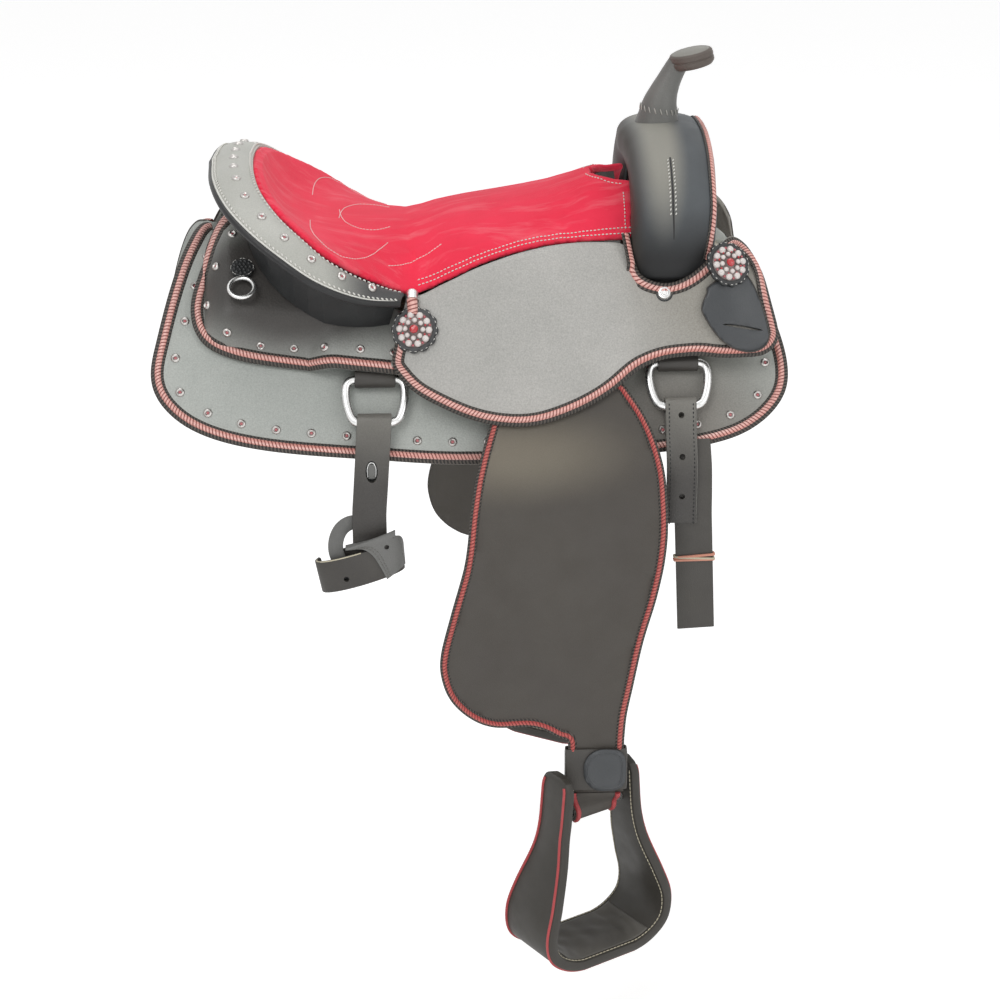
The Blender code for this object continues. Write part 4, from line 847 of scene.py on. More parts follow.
def skin(name, rings, marks, finish, body, slot):
    """A piece through rings of points, capped unless it closes; marks are metres along it."""
    bm = bmesh.new()
    layer = bm.loops.layers.uv.new("UVMap")
    rings = [[bm.verts.new(point) for point in ring] for ring in rings]
    around = len(rings[0])
    for index in range(len(marks) - 1):
        ring, other = rings[index], rings[(index + 1) % len(rings)]
        start, end = marks[index], marks[index + 1]
        for step in range(around):
            following = (step + 1) % around
            face = bm.faces.new((ring[step], other[step], other[following], ring[following]))
            low, high = step / around, (step + 1) / around
            for loop, uv in zip(face.loops, ((start, low), (end, low), (end, high), (start, high))):
                loop[layer].uv = uv
    if len(marks) == len(rings):
        bm.faces.new(rings[0])
        bm.faces.new(rings[-1])
    bmesh.ops.recalc_face_normals(bm, faces=bm.faces)
    return add_piece(name, to_mesh(name, bm, 60), finish, body, slot)


def lengths_along(points):
    lengths = [0.0]
    for first, second in zip(points, points[1:]):
        lengths.append(lengths[-1] + (second - first).length)
    return lengths


def sweep(name, finish, body, slot, points, normals, section, closed=False):
    """A section (sideways, outward) swept along a line; its UV map counts metres along it."""
    rings = [[point + side * a + normal * b for a, b in section]
             for point, (_, normal, side) in zip(points, frames_along(points, normals, closed))]
    return skin(name, rings, lengths_along(points + points[:1] if closed else points), finish, body,
                slot)


def arch(low, high, height, sink=0.0006, steps=9):
    """Half-round section from low to high sideways, sunk a little into what it lies on."""
    middle, half = (low + high) / 2, (high - low) / 2
    top = [(middle - half * math.cos(math.pi * step / (steps - 1)),
            height * math.sin(math.pi * step / (steps - 1)) ** 0.8) for step in range(steps)]
    return top + [(high, -sink), (low, -sink)]


def edging(name, body, points, normals, outward, slot, cord=ROPE, width=0.012, cord_width=0.0064,
           inset=0.003, wrap=0.0008, closed=False):
    """Rope edging along a line in space: dark lacing round the edge and a coloured cord on it."""
    frames = frames_along(points, normals, closed)
    sign = 1.0 if sum(frame[2].dot(outward[i]) for i, frame in enumerate(frames)) > 0 else -1.0
    lace = [(sign * a, b) for a, b in arch(-width, wrap, 0.0014, 0.0008)]
    sweep(name + "_lacing", LACE, body, slot, points, normals, lace, closed)
    low = -inset - cord_width
    core = [(sign * a, b) for a, b in arch(low, -inset, 0.0034, 0.0004)]
    sweep(name + "_cord", cord, body, slot, points, normals, core, closed)


def follow(name, finish, body, slot, surface, flat, facing, lift, section):
    """A section (inward, outward) carried along a flat run, each of its points on the surface."""
    rows = [run_on(surface, inset_run(flat, inward), facing, lift + height)[0]
            for inward, height in section]
    return skin(name, list(zip(*rows)), lengths_along(rows[0]), finish, body, slot)


def capsules(name, finish, body, slot, places, length, width, height):
    """Many short stitches as one piece: each place is a point, its direction and its normal."""
    bm = bmesh.new()
    profile = ((-0.5, 0.35), (-0.32, 0.9), (0.0, 1.0), (0.32, 0.9), (0.5, 0.35))
    for point, direction, normal in places:
        side = direction.cross(normal)
        rings = []
        for along, grow in profile:
            centre = point + direction * along * length + normal * height * 0.25 * grow
            rings.append([centre + side * width * 0.5 * grow * math.cos(angle)
                          + normal * height * 0.5 * grow * math.sin(angle)
                          for angle in (math.pi * step / 3 for step in range(6))])
        join_rings(bm, rings)
    return add_piece(name, finish_mesh(name, bm, None, 80), finish, body, slot)


def nearest_normals(spaced, points, normals):
    return [normals[min(range(len(points)),
                        key=lambda index: (points[index] - point).length_squared)]
            for point in spaced]


def stitches(name, finish, body, points, normals, pitch=0.0042, share=0.68, width=0.0011,
             slant=0.0, slot="black_leather", closed=False):
    """A row of stitches along a line; slant turns each one, as in whip stitch and lacing."""
    spaced = resample(points, pitch, closed)
    frames = nearest_normals(spaced, points, normals)
    places = []
    for index, (direction, normal, side) in enumerate(frames_along(spaced, frames, closed)):
        turned = direction * math.cos(slant) + side * math.sin(slant)
        places.append((spaced[index], turned, normal))
    return capsules(name, finish, body, slot, places, pitch * share, width, width * 0.9)


def turn_profile(bm, profile, place, steps):
    """Adds one turned solid to the mesh; the profile (radius, height) ends on the axis."""
    rings = []
    for radius, height in profile:
        if radius < 1e-6:
            rings.append([bm.verts.new(place @ Vector((0, 0, height)))])
        else:
            rings.append([bm.verts.new(place @ Vector((radius * math.cos(angle),
                                                       radius * math.sin(angle),
                                                       height)))
                          for angle in (2 * math.pi * step / steps for step in range(steps))])
    for first, second in zip(rings, rings[1:]):
        for index in range(steps):
            other = (index + 1) % steps
            corners = [first[index % len(first)], first[other % len(first)],
                       second[other % len(second)], second[index % len(second)]]
            unique = list(dict.fromkeys(corners))
            if len(unique) > 2:
                bm.faces.new(unique)


def turned(name, finish, body, slot, profile, places, steps=20, sharp=45):
    bm = bmesh.new()
    for place in places:
        turn_profile(bm, profile, place, steps)
    return add_piece(name, finish_mesh(name, bm, None, sharp), finish, body, slot)


def tube(name, finish, body, slot, points, radius, closed=False, around=12, up=UP):
    return sweep(name, finish, body, slot, points, [up] * len(points), circle(around, radius),
                 closed)


def spline_run(points, count):
    return [spline(points, step / (count - 1)) for step in range(count)]


def part_of(outline, per_span, first, last):
    """Stretch of a closed outline from control point first to last, both counted from 0."""
    full = closed_curve(outline, per_span)
    return [full[index % len(full)] for index in range(first * per_span, last * per_span + 1)]


def inset_run(points, distance):
    """A flat run moved to its left by distance, which is inward on the saddle's outlines."""
    result = []
    for index, point in enumerate(points):
        before = points[max(index - 1, 0)]
        after = points[min(index + 1, len(points) - 1)]
        direction = (Vector(after) - Vector(before)).normalized()
        result.append(Vector((point[0] + direction[1] * distance,
                              point[1] - direction[0] * distance)))
    return result


# Leather panels with their rope edging and studs


def clamped_fender(points):
    result = []
    for point in points:
        x, s = point[0], min(point[1], FENDER_END_S)
        if s > HOBBLE_S - HOBBLE_HEIGHT / 2 - 0.012:
            x = min(max(x, FENDER_NECK[0]), FENDER_NECK[1])
        result.append(Vector((x, s)))
    return result


def centre_of(points):
    return sum(points, Vector()) / len(points)


def edged_run(name, body, surface, flat, facing, thickness, slot="black_leather", cord=ROPE,
              width=0.012, cord_width=0.0064, inset=0.003, wrap=0.0008):
    """Rope edging along a flat outline: dark lacing with a coloured cord laid on it."""
    flat = smooth_run(resample([Vector((point[0], point[1], 0)) for point in flat], 0.003))
    follow(name + "_lacing", LACE, body, slot, surface, flat, facing, thickness,
           arch(-wrap, width, 0.0014, 0.0008))
    follow(name + "_cord", cord, body, slot, surface, flat, facing, thickness,
           arch(inset, inset + cord_width, 0.0034, 0.0004))


def eyelets(name, body, places):
    """Silver eyelets with a pink heart."""
    ring = [(0.0, 0.0003), (0.0014, 0.0003), (0.0018, 0.0012), (0.0029, 0.0019), (0.0041, 0.0014),
            (0.0047, 0.0002), (0.0047, -0.0004), (0.0, -0.0004)]
    heart = [(0.0, 0.0011), (0.0009, 0.0009), (0.0014, 0.0004), (0.0, 0.0002)]
    turned(name, EYELET, body, "bright_steel", ring, places, 16, 50)
    turned(name + "_hearts", PINK_GEM, body, "red_suede", heart, places, 8)


def stud_row(name, body, surface, flat, facing, thickness, inset, pitch):
    spaced = resample([Vector((x, s, 0)) for x, s in inset_run(flat, inset)], pitch)
    places = []
    for point in spaced:
        normal = surface_normal(surface, point[0], point[1], facing)
        places.append(place_on(surface(point[0], point[1]) + normal * thickness, normal))
    eyelets(name, body, places)


def build_skirt(side):
    tag = side_name(side)
    facing = side_normal(side)

    def surface(x, s):
        return horseback(x, s, SKIRT_LIFT, side)

    outline = [Vector((x, max(s, 0.0006))) for x, s in closed_curve(SKIRT_OUTLINE, 8)]
    panel("skirt_leather_" + tag, SKIRT_GREY, "saddle", "grey_leather", outline, surface, facing,
          SKIRT_T, (0.0131, 0.0113), "skirt_" + tag)
    rim = part_of(SKIRT_OUTLINE, 8, 0, 15)
    rim[0] = Vector((rim[0][0], 0.002))
    edged_run("skirt_edge_" + tag, "saddle", surface, rim, facing, SKIRT_T)
    stud_row("skirt_studs_" + tag, "saddle", surface, part_of(SKIRT_OUTLINE, 8, 1, 14), facing,
             SKIRT_T, 0.0215, 0.0345)
    lining = [Vector((x * 0.975 + 0.002, s * 0.965 + 0.0065)) for x, s in outline]
    panel("fleece_lining_" + tag, WOOL, "saddle", "wool", lining,
          lambda x, s: horseback(x, s, -SKIRT_LIFT - 0.0006 - FLEECE_T, side), facing, FLEECE_T,
          (0.0131, 0.0113), "fleece_" + tag)


def build_rear_jockey(side):
    tag = side_name(side)
    facing = side_normal(side)

    def surface(x, s):
        return horseback(x, s, rear_jockey_lift(x, s), side)

    panel("rear_jockey_leather_" + tag, JOCKEY_GREY, "saddle", "grey_leather",
          closed_curve(REAR_JOCKEY_OUTLINE, 8), surface, facing, JOCKEY_T, (0.0061, 0.0057),
          "rear_jockey_" + tag)
    edged_run("rear_jockey_edge_" + tag, "saddle", surface, part_of(REAR_JOCKEY_OUTLINE, 8, 0, 10),
              facing, JOCKEY_T)
    stud_row("rear_jockey_studs_" + tag, "saddle", surface, part_of(REAR_JOCKEY_OUTLINE, 8, 1, 9),
             facing, JOCKEY_T, 0.0195, 0.033)


def build_seat_jockey(side):
    tag = side_name(side)
    facing = side_normal(side)

    def surface(u, v):
        return jockey_point(u, v, side)

    grid_piece("seat_jockey_leather_" + tag, GREY, "saddle", "grey_leather", surface, 144, 28,
               facing, JOCKEY_T, node="seat_jockey_" + tag)
    run = [(0.0, step / 12) for step in range(3, 12)]
    run += [(step / 96, 1.0) for step in range(97)]
    run += [(1.0, 1 - step / 10) for step in range(1, 10)]
    run += [(1 - step / 60, 0.0) for step in range(33)]
    points, normals = [], []
    for u, v in run:
        normal = surface_normal(surface, min(max(u, 0.004), 0.996), min(max(v, 0.02), 0.98), facing)
        points.append(surface(u, v) + normal * JOCKEY_T)
        normals.append(normal)
    rise = ((points[-1] - points[-4]).normalized() + Vector((-0.15, 0, 1))).normalized()
    for step in range(6):
        points.append(points[-1] + rise * 0.0042)
        normals.append(normals[-1])
    points = smooth_run(points, 3)
    middle = centre_of(points)
    edging("seat_jockey_edge_" + tag, "saddle", points, normals, [p - middle for p in points],
           "black_leather")


def build_fender(side):
    tag = side_name(side)
    facing = side_normal(side)
    body = "fender_" + tag

    def surface(x, s):
        return hanging(x, s, FENDER_LIFT, side)

    panel("fender_leather_" + tag, FENDER_BROWN, body, "brown_leather",
          clamped_fender(closed_curve(FENDER_OUTLINE, 8)), surface, facing, FENDER_T,
          (0.0173, 0.0107), "fender_" + tag)
    for name, first, last in (("rear", 0, 16), ("front", 17, 29)):
        flat = clamped_fender(part_of(FENDER_OUTLINE, 8, first, last))
        flat = [point for point in flat if point[1] < HOBBLE_S - HOBBLE_HEIGHT / 2 + 0.003]
        edged_run("fender_%s_edge_%s" % (name, tag), body, surface, flat, facing, FENDER_T,
                  cord=RED_ROPE, width=0.0085, cord_width=0.0048, inset=0.002, wrap=0.0003)


def build_keeper(side):
    tag = side_name(side)
    made = panel("keeper_leather_" + tag, PATCH, "saddle", "black_leather",
                 closed_curve(KEEPER_OUTLINE, 6),
                 lambda u, v: jockey_place(u, v, side, LAYER + 0.0004).translation,
                 side_normal(side), 0.0035, (0.013, 0.06), "latigo_keeper_" + tag)
    place = place_on(jockey_place(*KEEPER_SLOT, side, 0.0).translation, side_normal(side))
    punch(made, place @ Matrix.Rotation(math.radians(side * 8), 4, "Z"), 0.04, 0.003, 16)
    points = [jockey_place(u, v, side, LAYER + 0.0034).translation
              for u, v in inset_run(closed_curve(KEEPER_OUTLINE, 6), 0.0)]
    normals = [jockey_place(u, v, side, 0.0).to_3x3() @ UP
               for u, v in closed_curve(KEEPER_OUTLINE, 6)]
    section = [(a, b + 0.0003) for a, b in circle(6, 0.0007)]
    sweep("keeper_rim_" + tag, STRAP_BROWN, "saddle", "black_leather", points, normals, section,
          True)


def punch(made, place, size_x, size_y, sides):
    """Takes a hole through a piece for good, along the Z of its place."""
    bm = bmesh.new()
    bmesh.ops.create_cone(bm, cap_ends=True, segments=sides, radius1=0.5, radius2=0.5, depth=0.05)
    bm.transform(place @ Matrix.Diagonal((size_x, size_y, 1, 1)))
    mesh = bpy.data.meshes.new("cutter")
    bm.to_mesh(mesh)
    bm.free()
    cutter = bpy.data.objects.new("cutter", mesh)
    bpy.context.scene.collection.objects.link(cutter)
    modifier = made.modifiers.new("cut", "BOOLEAN")
    modifier.object = cutter
    modifier.solver = "EXACT"
    bake(made)
    bpy.data.objects.remove(cutter, do_unlink=True)


def bake(made):
    """Replaces a piece's mesh by the mesh that its modifiers make."""
    bpy.context.view_layer.update()
    graph = bpy.context.evaluated_depsgraph_get()
    mesh = bpy.data.meshes.new_from_object(made.evaluated_get(graph))
    made.modifiers.clear()
    made.data = mesh
    return made


# Straps


def rounded_section(width, thickness, bevel=0.001):
    a, b, c = width / 2, thickness / 2, min(bevel, thickness * 0.35)
    return [(a, b - c), (a - c * 0.3, b - c * 0.3), (a - c, b), (-a + c, b),
            (-a + c * 0.3, b - c * 0.3),
            (-a, b - c), (-a, -b + c), (-a + c * 0.3, -b + c * 0.3), (-a + c, -b), (a - c, -b),
            (a - c * 0.3, -b + c * 0.3), (a, -b + c)]


def ribbon(name, finish, body, path, width, thickness, across, node=None, count=None):
    """A strap with softened edges along a smooth path; across is its width's direction."""
    count = count or len(path) * 4
    points = spline_run(path, count)
    directions = spline_run(across, count) if isinstance(across, list) else [across] * count
    rings, normals = [], []
    for point, (_, normal, side) in zip(points, frames_along(points, directions)):
        rings.append([point + normal * a + side * b for a, b in rounded_section(width, thickness)])
        normals.append(side.normalized())
    return loft(name, finish, body, "brown_leather", rings, node, sharp=35), points, normals


def billet_path(side, x, s, length, under):
    """Over the dee's lower bar, down the skirt and then straight down past its edge."""
    radius = DEE_WIRE + LAYER + BILLET_T / 2
    bottom = s + DEE_DROP
    tail = 0.028
    path = [horse_plane(x, bottom + tail, DEE_LIFT - radius + 0.001, side, s),
            horse_plane(x, bottom + tail / 2, DEE_LIFT - radius + 0.0002, side, s)]
    for step in range(9):
        angle = math.pi * step / 8
        path.append(horse_plane(x, bottom - radius * math.sin(angle),
                                DEE_LIFT - radius * math.cos(angle), side, s))
    path.append(horse_plane(x, bottom + 0.013, DEE_LIFT + 0.0036, side, s))
    path.append(horse_plane(x, bottom + tail, DEE_LIFT - radius + 0.0064, side, s))
    edge = flat_side(x, 0.262, SKIRT_TOP + under, side)
    path += [edge, edge + Vector((0, side * 0.003, -0.012))]
    for step in range(1, 5):
        path.append(edge + Vector((0, side * 0.0035, -0.012 - length * step / 4)))
    return path


def hole(made, point, size_x, size_z):
    punch(made, place_on(point, Vector((0, 1, 0))), size_x, size_z, 20)


def dee_ring(name, body, side, x, s, node):
    half = [(DEE_HALF - 0.006, 0.0), (DEE_HALF, 0.006), (DEE_HALF, 0.021),
            (DEE_HALF - 0.0025, 0.0325), (DEE_FLAT + 0.0045, 0.0415), (DEE_FLAT, DEE_DROP)]
    flat = half + [(-reach, down) for reach, down in reversed(half)]
    points = [horse_plane(x + dx, s + ds, DEE_LIFT, side, s) for dx, ds in flat]
    up = (horse_plane(x, s, 1.0, side, s) - horse_plane(x, s, 0.0, side, s)).normalized()
    line = resample(closed_curve(points, 5), 0.0024, True)
    line = smooth_run(line, 10, True)
    made = tube(name, STEEL, body, "bright_steel", line, DEE_WIRE, True, 16, up)
    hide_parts(node)


def build_rigging(side):
    tag = side_name(side)
    for name, x, s, top in (("front", FRONT_DEE_X, FRONT_DEE_S, 0.118),
                            ("rear", REAR_DEE_X, REAR_DEE_S, 0.112)):
        inner = SKIRT_TOP + LAYER + RIGGING_T / 2
        path = [horseback(x, top + (s - top) * step / 4, inner, side) for step in range(4)]
        radius = DEE_WIRE + LAYER + RIGGING_T / 2
        for step in range(9):
            angle = math.pi * step / 8
            path.append(horse_plane(x, s + radius * math.sin(angle),
                                    DEE_LIFT - radius * math.cos(angle), side, s))
        path.append(horse_plane(x, s - 0.008, DEE_LIFT + radius * 0.75, side, s))
        path.append(horse_plane(x, s - 0.019, inner + RIGGING_T + 0.0022, side, s))
        path.append(horse_plane(x, s - 0.029, inner + RIGGING_T + 0.0012, side, s))
        node = "%s_rigging_%s" % (name, tag)
        ribbon(name + "_rigging_strap_" + tag, STRAP_BROWN, "saddle", path, 0.04, RIGGING_T,
               FORWARD, node)
        dee = "%s_dee_%s" % (name, tag)
        dee_ring(name + "_dee_ring_" + tag, dee, side, x, s, dee)


def lean(point, reach):
    """Straps hang a little askew, more so further down."""
    return point + Vector((reach * min(max((-0.108 - point.z) / 0.11, 0.0), 1.0), 0, 0))


def build_rear_billet(side):
    tag = side_name(side)
    body = "rear_billet_" + tag
    path = [lean(point, -0.008)
            for point in billet_path(side, REAR_DEE_X, REAR_DEE_S, 0.073, 0.004)]
    made = ribbon("rear_billet_strap_" + tag, STRAP_GREY, body, path, REAR_BILLET_WIDTH, BILLET_T,
                  FORWARD, "rear_billet_" + tag, 90)[0]
    slot = path[-5].lerp(path[-6], 0.6)
    hole(made, slot, 0.012, 0.022)
    behind = [slot + Vector((0, -side * 0.0028, 0.021 - 0.042 * step / 4)) for step in range(5)]
    ribbon("rear_billet_lining_" + tag, BLACK, body, behind, 0.028, 0.0012, FORWARD)
    tongue = [slot + Vector((0, -side * 0.0006, 0.0072 - 0.015 * step / 4)) for step in range(5)]
    ribbon("rear_billet_tongue_" + tag, KNOT_GREY, body, tongue, 0.0074, 0.0016, FORWARD)
    staple = [slot + Vector((x, side * 0.0005, z)) for x, z in STAPLE]
    tube("rear_billet_staple_" + tag, STEEL, body, "bright_steel", spline_run(staple, 40), 0.0005,
         False, 8, Vector((0, 1, 0)))
    centre = path[-1] + Vector((-0.0072, side * 0.0026, -0.01))
    build_coil(side, body, centre)
    build_knot_strip(side, body, centre)
    build_knot_loop(side, body, centre)


def build_coil(side, body, centre):
    """The billet's end, rolled up, with the hole that shows in front."""
    tag = side_name(side)
    outer = Vector((0, side, 0))
    askew = Matrix.Rotation(math.radians(-17), 3, "Y")
    coil = []
    for step in range(29):
        angle = math.radians(205 - 330 * step / 28)
        grow = 1 + 0.06 * step / 28
        coil.append(centre + askew @ Vector((0.0405 * grow * math.cos(angle) - 0.0055,
                                             side * 0.0135 * grow * math.sin(angle),
                                             -0.002 * step / 28 - 0.0045)))
    upright = askew @ Vector((0.1, 0, 1)).normalized()
    roll, points, _ = ribbon("rear_billet_coil_" + tag, STRAP_BROWN, body, coil, REAR_BILLET_WIDTH,
                             BILLET_T, upright, "rear_billet_roll_" + tag, 90)
    rim = [point + upright * 0.0166 + outer * 0.0012 for point in points[5:34]]
    tube("rear_billet_coil_rim_" + tag, CREAM_THREAD, body, "brown_leather", rim, 0.0008, False, 8,
         outer)
    spot = centre + Vector((-0.0167, side * 0.0125, -0.0165))
    hole(roll, spot, 0.0055, 0.0055)
    # A black disc behind the hole is painted shade: the dark seen through the hole into the coil.
    hole_shade_profile = [(0.0, 0.0006), (0.0044, 0.0006), (0.0048, 0.0), (0.0044, -0.0006), (0.0, -0.0006)]
    turned("rear_billet_hole_backing_" + tag, BLACK, body, "black_leather", hole_shade_profile,
           [place_on(spot - outer * 0.0045, outer)], 16)


def build_knot_strip(side, body, centre):
    """The strip that crosses the coil's front end and folds back over it."""
    tag = side_name(side)
    outer = Vector((0, side, 0))

    def crossing(t, u, back, turn):
        """Point of the strip, t down it and u across; t below 0 and turn lay it back."""
        a, b = (spline([(x, 0, z) for x, z in edge], t) for edge in (STRIP_LEFT, STRIP_RIGHT))
        behind = max(-t, 0.0)
        flat = a.lerp(b, u) + Vector((-0.6 * u, 0, -0.9 * u)) * behind
        bulge = 0.0135 * math.sqrt(max(0.0, 1 - ((flat.x + 0.0055) / 0.046) ** 2)) + 0.0034
        cosine, sine = math.cos(math.pi / 2 * turn), math.sin(math.pi / 2 * turn)
        bend = 0.001 + 0.003 * u
        rise = UP * bend * sine - outer * bend * (1 - cosine)
        return centre + flat + outer * (bulge - behind) + rise + (outer * cosine + UP * sine) * back

    rows = [(-0.007, 1.0), (0.0, 1.0), (0.0, 0.66), (0.0, 0.33)]
    rows += [(t / 12, 0.0) for t in range(13)]
    rings = [[crossing(t, u / 12, 0.0012, turn) for u in range(13)]
             + [crossing(t, u / 12, -0.0012, turn) for u in range(12, -1, -1)] for t, turn in rows]
    made = loft("rear_billet_flap_" + tag, KNOT_GREY, body, "brown_leather", rings, sharp=35)
    hole(made, centre + Vector((0.0237, side * 0.0138, 0.017)), 0.005, 0.005)
    for index, u in enumerate((0.1, 0.2, 0.93)):
        row = [crossing(0.04 + 0.92 * step / 24, u, 0.0013, 0.0) for step in range(25)]
        stitches("rear_billet_flap_stitch_%d_%s" % (index, tag), GREY_THREAD, body, row,
                 [outer] * len(row), 0.0036, 0.62, 0.0009)


def build_knot_loop(side, body, centre):
    """The loop behind the coil, which goes up behind the strap."""
    arc = [centre + Vector((x, side * y, z)) for x, y, z in KNOT_LOOP]
    across = []
    for before, after in zip(arc[:1] + arc, arc[1:] + arc[-1:]):
        run = after - before
        across.append(Vector((run.z, 0, -run.x)).normalized())
    ribbon("rear_billet_loop_" + side_name(side), KNOT_GREY, body, arc, 0.015, 0.0026, across,
           count=36)


def build_front_billet(side):
    if side > 0:
        path = billet_path(side, FRONT_DEE_X + 0.0005, FRONT_DEE_S, 0.215, 0.004)
        ribbon("latigo_strap", STRAP_BROWN, "latigo", path, FRONT_BILLET_WIDTH, BILLET_T, FORWARD,
               "latigo", 110)
        return
    path = billet_path(side, FRONT_DEE_X + 0.0005, FRONT_DEE_S, 0.053, 0.0087)
    made, points, _ = ribbon("off_billet_strap", STRAP_GREY, "off_billet", path, FRONT_BILLET_WIDTH,
                             BILLET_T, FORWARD, "off_billet", 100)
    for down in (-0.053, -0.015, 0.025):
        hole(made, path[-5] + Vector((0, 0, -down)), 0.006, 0.006)
    outer = Vector((0, side, 0))
    for index, edge in enumerate((-1, 1)):
        place = outer * (BILLET_T / 2 - 0.0001) + FORWARD * edge * (FRONT_BILLET_WIDTH / 2 - 0.0035)
        row = [point + place for point in points[48:]]
        stitches("off_billet_stitches_%d" % index, DARK_THREAD, "off_billet", row,
                 [outer] * len(row),
                 0.0042, 0.6, 0.0012)
    aside = FRONT_DEE_X + 0.01
    edge = flat_side(aside, 0.262, SKIRT_TOP + 0.003, side)
    behind = [flat_side(aside, FRONT_DEE_S + DEE_DROP + 0.031, SKIRT_TOP + 0.0032, side), edge,
              edge + Vector((0, side * 0.003, -0.012))]
    for step in range(1, 9):
        behind.append(edge + Vector((0, side * 0.0035, -0.012 - 0.167 * step / 8)))
    behind = [lean(point, 0.003) + Vector((0.0062 * max(0, index - 4) / 6, 0, 0))
              for index, point in enumerate(behind)]
    rim = [point + outer * (BILLET_T / 2) + FORWARD * 0.0146 for point in points[48:]]
    sweep("off_billet_rim", GREY_THREAD, "off_billet", "brown_leather", rim, [outer] * len(rim),
          arch(-0.0004, 0.0004, 0.0004, 0.0003))
    ribbon("off_billet_liner", STRAP_BROWN, "off_billet", behind, 0.0375, BILLET_T, FORWARD,
           "off_strap", 60)
    build_tie(behind[6].lerp(behind[7], 0.2))


def build_tie(centre):
    """Red and cream thread wound round the long strap."""
    winds = ((PEACH_THREAD, 0.0, 0.07), (CREAM_THREAD, 0.0022, -0.06), (PEACH_THREAD, 0.0042, 0.01))
    for index, (finish, drop, tilt) in enumerate(winds):
        loop = []
        for cosine, sine in circle(40):
            x = 0.0198 * max(-1, min(1, 1.25 * cosine))
            y = (BILLET_T / 2 + 0.001) * max(-1, min(1, 1.6 * sine))
            loop.append(centre + Vector((x, y, -drop + x * tilt)))
        tube("tie_%d" % index, finish, "off_billet", "red_suede", loop, 0.0014, True, 8)


# Fender's lower end and the stirrup


def build_hobble(side):
    tag = side_name(side)
    body = "fender_" + tag
    lift = FENDER_LIFT + FENDER_T + 0.001 + HOBBLE_T

    def surface(x, s):
        return hanging(x, s, lift, side)

    centre_x, half_x, half_s = 0.1885, 0.0215, 0.0225
    patch = []
    for step in range(64):
        angle = 2 * math.pi * step / 64
        cosine, sine = math.cos(angle), math.sin(angle)
        power = 0.62 if cosine > 0 else 0.92
        patch.append(Vector((centre_x + half_x * math.copysign(abs(cosine) ** power, cosine),
                             HOBBLE_S + half_s * math.copysign(abs(sine) ** power, sine))))
    panel("hobble_patch_" + tag, PATCH, body, "black_leather", patch, surface, side_normal(side),
          0.0024, (0.0063, 0.0061))
    for index, share in enumerate((0.86, 0.8)):
        ring = [Vector((centre_x + (x - centre_x) * share, HOBBLE_S + (s - HOBBLE_S) * share))
                for x, s in patch]
        points = [hanging(x, s, lift + 0.0023, side) for x, s in ring]
        normals = [surface_normal(surface, x, s, side_normal(side)) for x, s in ring]
        section = circle(6, 0.0009, 0.0007)
        sweep("hobble_relief_%d_%s" % (index, tag), PATCH, body, "black_leather", points, normals,
              section, True)
    fold_hobble(side, body)


def fold_hobble(side, body):
    """The band itself, round the fender's neck."""
    left, right = FENDER_NECK
    reach, corner = 0.001 + HOBBLE_T / 2, 0.0022
    low, high = -reach, FENDER_T + reach
    middle = Vector(((left + right) / 2, (low + high) / 2))
    ends = (left - reach + corner, right + reach - corner)
    flat = []
    for x, lift, start in ((ends[0], high - corner, 180), (ends[1], high - corner, 90),
                           (ends[1], low + corner, 0), (ends[0], low + corner, -90)):
        for step in range(5):
            angle = math.radians(start - 22.5 * step)
            flat.append((x + corner * math.cos(angle), lift + corner * math.sin(angle)))

    def ring(s, half):
        """The band's section at s, half outward from its middle line."""
        points = []
        for x, lift in flat:
            away = Vector((x, lift)) - middle
            sideways = math.copysign(min(1, abs(away[0]) / 0.027), away[0]) * (abs(away[0]) > 0.024)
            outwards = math.copysign(1, away[1]) * (abs(away[1]) > 0.0015)
            shift = Vector((sideways, outwards))
            shift = shift.normalized() * half if shift.length else shift
            points.append(hanging(x + shift[0], s, FENDER_LIFT + lift + shift[1], side))
        return points

    outside = [(HOBBLE_S + HOBBLE_HEIGHT * (step / 8 - 0.5),
                HOBBLE_T / 2 - (0.0006 if step in (0, 8) else 0.0)) for step in range(9)]
    rings = [ring(s, half) for s, half in outside] + [ring(s, -half) for s, half in outside[::-1]]
    name = side_name(side)
    loft("hobble_band_" + name, STRAP_BROWN, body, "black_leather", rings + rings[:1],
         "hobble_strap_" + name, capped=False, sharp=40)


def loop_frame(side):
    """Where the fender's loop starts, its bolt, the bolt's direction and what faces the rider."""
    start = hanging(sum(FENDER_NECK) / 2, FENDER_END_S + LAYER, FENDER_LIFT + FENDER_T / 2, side)
    turn = Matrix.Rotation(side * -LOOP_TURN, 3, "Z")
    outward = turn @ Vector((0, side, 0))
    radius = BOLT_R + LAYER + LOOP_T / 2
    bolt = start + Vector((0, 0, -LOOP_LENGTH)) - outward * radius
    return start, bolt, turn @ FORWARD, outward, radius


